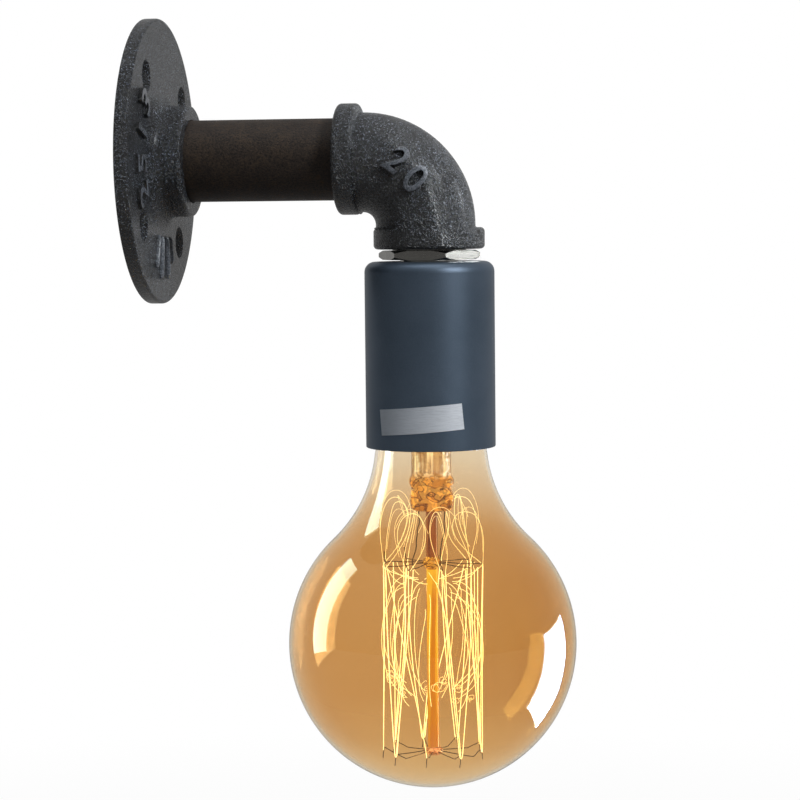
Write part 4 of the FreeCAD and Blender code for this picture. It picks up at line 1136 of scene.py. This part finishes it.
def addLamp(name, target, only=None, without=None, window=False):
    # a window is seen in the glass and through it; for the other lamps the glass casts no shadow
    look = lamps[name]
    width, height = look["size"]
    light = bpy.data.lights.new(name, "AREA")
    light.shape = "RECTANGLE"
    light.size, light.size_y = width, height
    light.energy = look["radiance"] * pi * width * height
    light.color = look.get("colour", (1.0, 1.0, 1.0))
    lamp = addObject(name, light)
    turn, rise = (radians(degrees) for degrees in look["from"][:2])
    away = look["from"][2] * Vector((sin(turn) * cos(rise), -cos(turn) * cos(rise), sin(rise)))
    lamp.location = Vector(target) + away + Vector(look.get("shift", (0.0, 0.0, 0.0))) * mm
    roll = Quaternion((0.0, 0.0, 1.0), radians(look.get("roll", 0.0)))
    lamp.rotation_euler = ((-away).to_track_quat("-Z", "Y") @ roll).to_euler()
    lamp.visible_camera = False
    lamp.visible_transmission = window
    lamp.light_linking.receiver_collection = reach(name + "Reach", only, without)
    if not window:
        lamp.light_linking.blocker_collection = reach(name + "Shade", None, glass)


def reach(name, only, without):
    # the pieces that a lamp lights, or all but some
    chosen = bpy.data.collections.new(name)
    for piece in only or without:
        chosen.objects.link(piece)
    if without:
        for entry in chosen.collection_objects:
            entry.light_linking.link_state = "EXCLUDE"
    return chosen


def named(*starts):
    return [piece for piece in bpy.data.objects if piece.name.startswith(starts)]


aim = (lampX - 0.02, 0.0, -0.06)
globe = (lampX, 0.0, globeZ)
glass = named("blown_envelope")
irons = named("flange_", "elbow_", "wall_flange", "pipe_")
plated = named("reducing_bush", "cover_washer")
addLamp("keyRight", aim, without=glass + irons)
addLamp("topSoft", aim, without=glass)
addLamp("ironKey", aim, only=irons + plated)
addLamp("sideRight", aim, only=named("elbow_", "pipe_") + plated)
addLamp("windowLeft", globe, only=glass, window=True)
addLamp("windowRight", globe, only=glass, window=True)


def seenMasks(tree):
    # seen by the camera or through glass, and seen in a reflection
    camera, through, shiny = (addNode(tree, "ShaderNodeLightPath", output="Is " + kind + " Ray")
                              for kind in ("Camera", "Transmission", "Glossy"))
    return camera.math("MAXIMUM", camera, through), shiny * (1 - through)


def mixed(tree, factor, first, second):
    return addNode(tree, "ShaderNodeMixShader", {}, {0: factor, 1: first, 2: second})


def makeWorld():
    world = bpy.data.worlds.new("studioWorld")
    bpy.context.scene.world = world
    world.use_nodes = True
    tree = world.node_tree
    tree.nodes.clear()
    way = addNode(tree, "ShaderNodeTexCoord", output="Generated")
    forward, rise = way.part(1), way.part(2)

    def graded(below, level, above):
        bottom, top = studio.heights
        return rise.span(bottom, 0.0, below, level) + rise.span(0.0, top, 0.0, above - level)

    def light(strength):
        return addNode(tree, "ShaderNodeBackground", {}, {"Color": (1.0, 1.0, 1.0), "Strength": strength})

    room = graded(*studio.room)
    mirror = light(room + (studio.behind - room) * forward.span(*studio.turning))
    straight, shiny = seenMasks(tree)
    lit = mixed(tree, shiny, light(graded(*studio.ambient)), mirror)
    addNode(tree, "ShaderNodeOutputWorld", {}, {"Surface": mixed(tree, straight, lit, light(1.0))})


def makeFloor():
    half, level, shade = studio.floorHalf, studio.floor, studio.floorShade
    corners = [(x * half, y * half, level) for x, y in ((-1, -1), (1, -1), (1, 1), (-1, 1))]
    mesh = newMesh("studioFloor", corners, [(0, 1, 2, 3)])
    floor = addObject("studioFloor", mesh)
    material = bpy.data.materials.new("studioFloor")
    material.use_nodes = True
    tree = material.node_tree
    tree.nodes.clear()
    straight, shiny = seenMasks(tree)
    place = addNode(tree, "ShaderNodeTexCoord", output="Object")
    x, y = place.part(0) - lampX / 2, place.part(1)
    away = ((x * x + y * y) ** 0.5).span(*studio.floorFade, 0.85, 1.0)
    paper = addNode(tree, "ShaderNodeBsdfDiffuse", {}, {"Color": (shade, shade, shade)})
    pale = addNode(tree, "ShaderNodeBsdfDiffuse", {}, {"Color": (0.9, 0.9, 0.9)})
    glow = addNode(tree, "ShaderNodeEmission", {}, {"Color": (1.0, 1.0, 1.0), "Strength": 1.0})
    shown = mixed(tree, straight * away + shiny * 0.35, mixed(tree, straight, paper, pale), glow)
    addNode(tree, "ShaderNodeOutputMaterial", {}, {"Surface": shown})
    mesh.materials.append(material)


makeWorld()
makeFloor()

# camera at the photograph's place; the focal length and the picture's width are in pixels
shot = Settings(place=(0.2045, -0.800, -0.0202), yaw=8.626, pitch=4.167, roll=-0.570,
                focal=2463.9, width=800, sensor=36.0)


def makeCamera():
    camera = bpy.data.cameras.new("photoCamera")
    camera.sensor_width = camera.sensor_height = shot.sensor
    camera.lens = shot.focal / shot.width * shot.sensor
    camera.clip_start = 0.01
    camera.clip_end = 50.0
    holder = addObject("photoCamera", camera)
    turn = Euler((radians(90 - shot.pitch), 0.0, radians(shot.yaw))).to_matrix()
    holder.rotation_euler = (turn @ Matrix.Rotation(radians(shot.roll), 3, "Z")).to_euler()
    holder.location = shot.place
    bpy.context.scene.camera = holder


makeCamera()
bpy.context.scene.view_settings.view_transform = "Standard"
print("stage: studio lit")
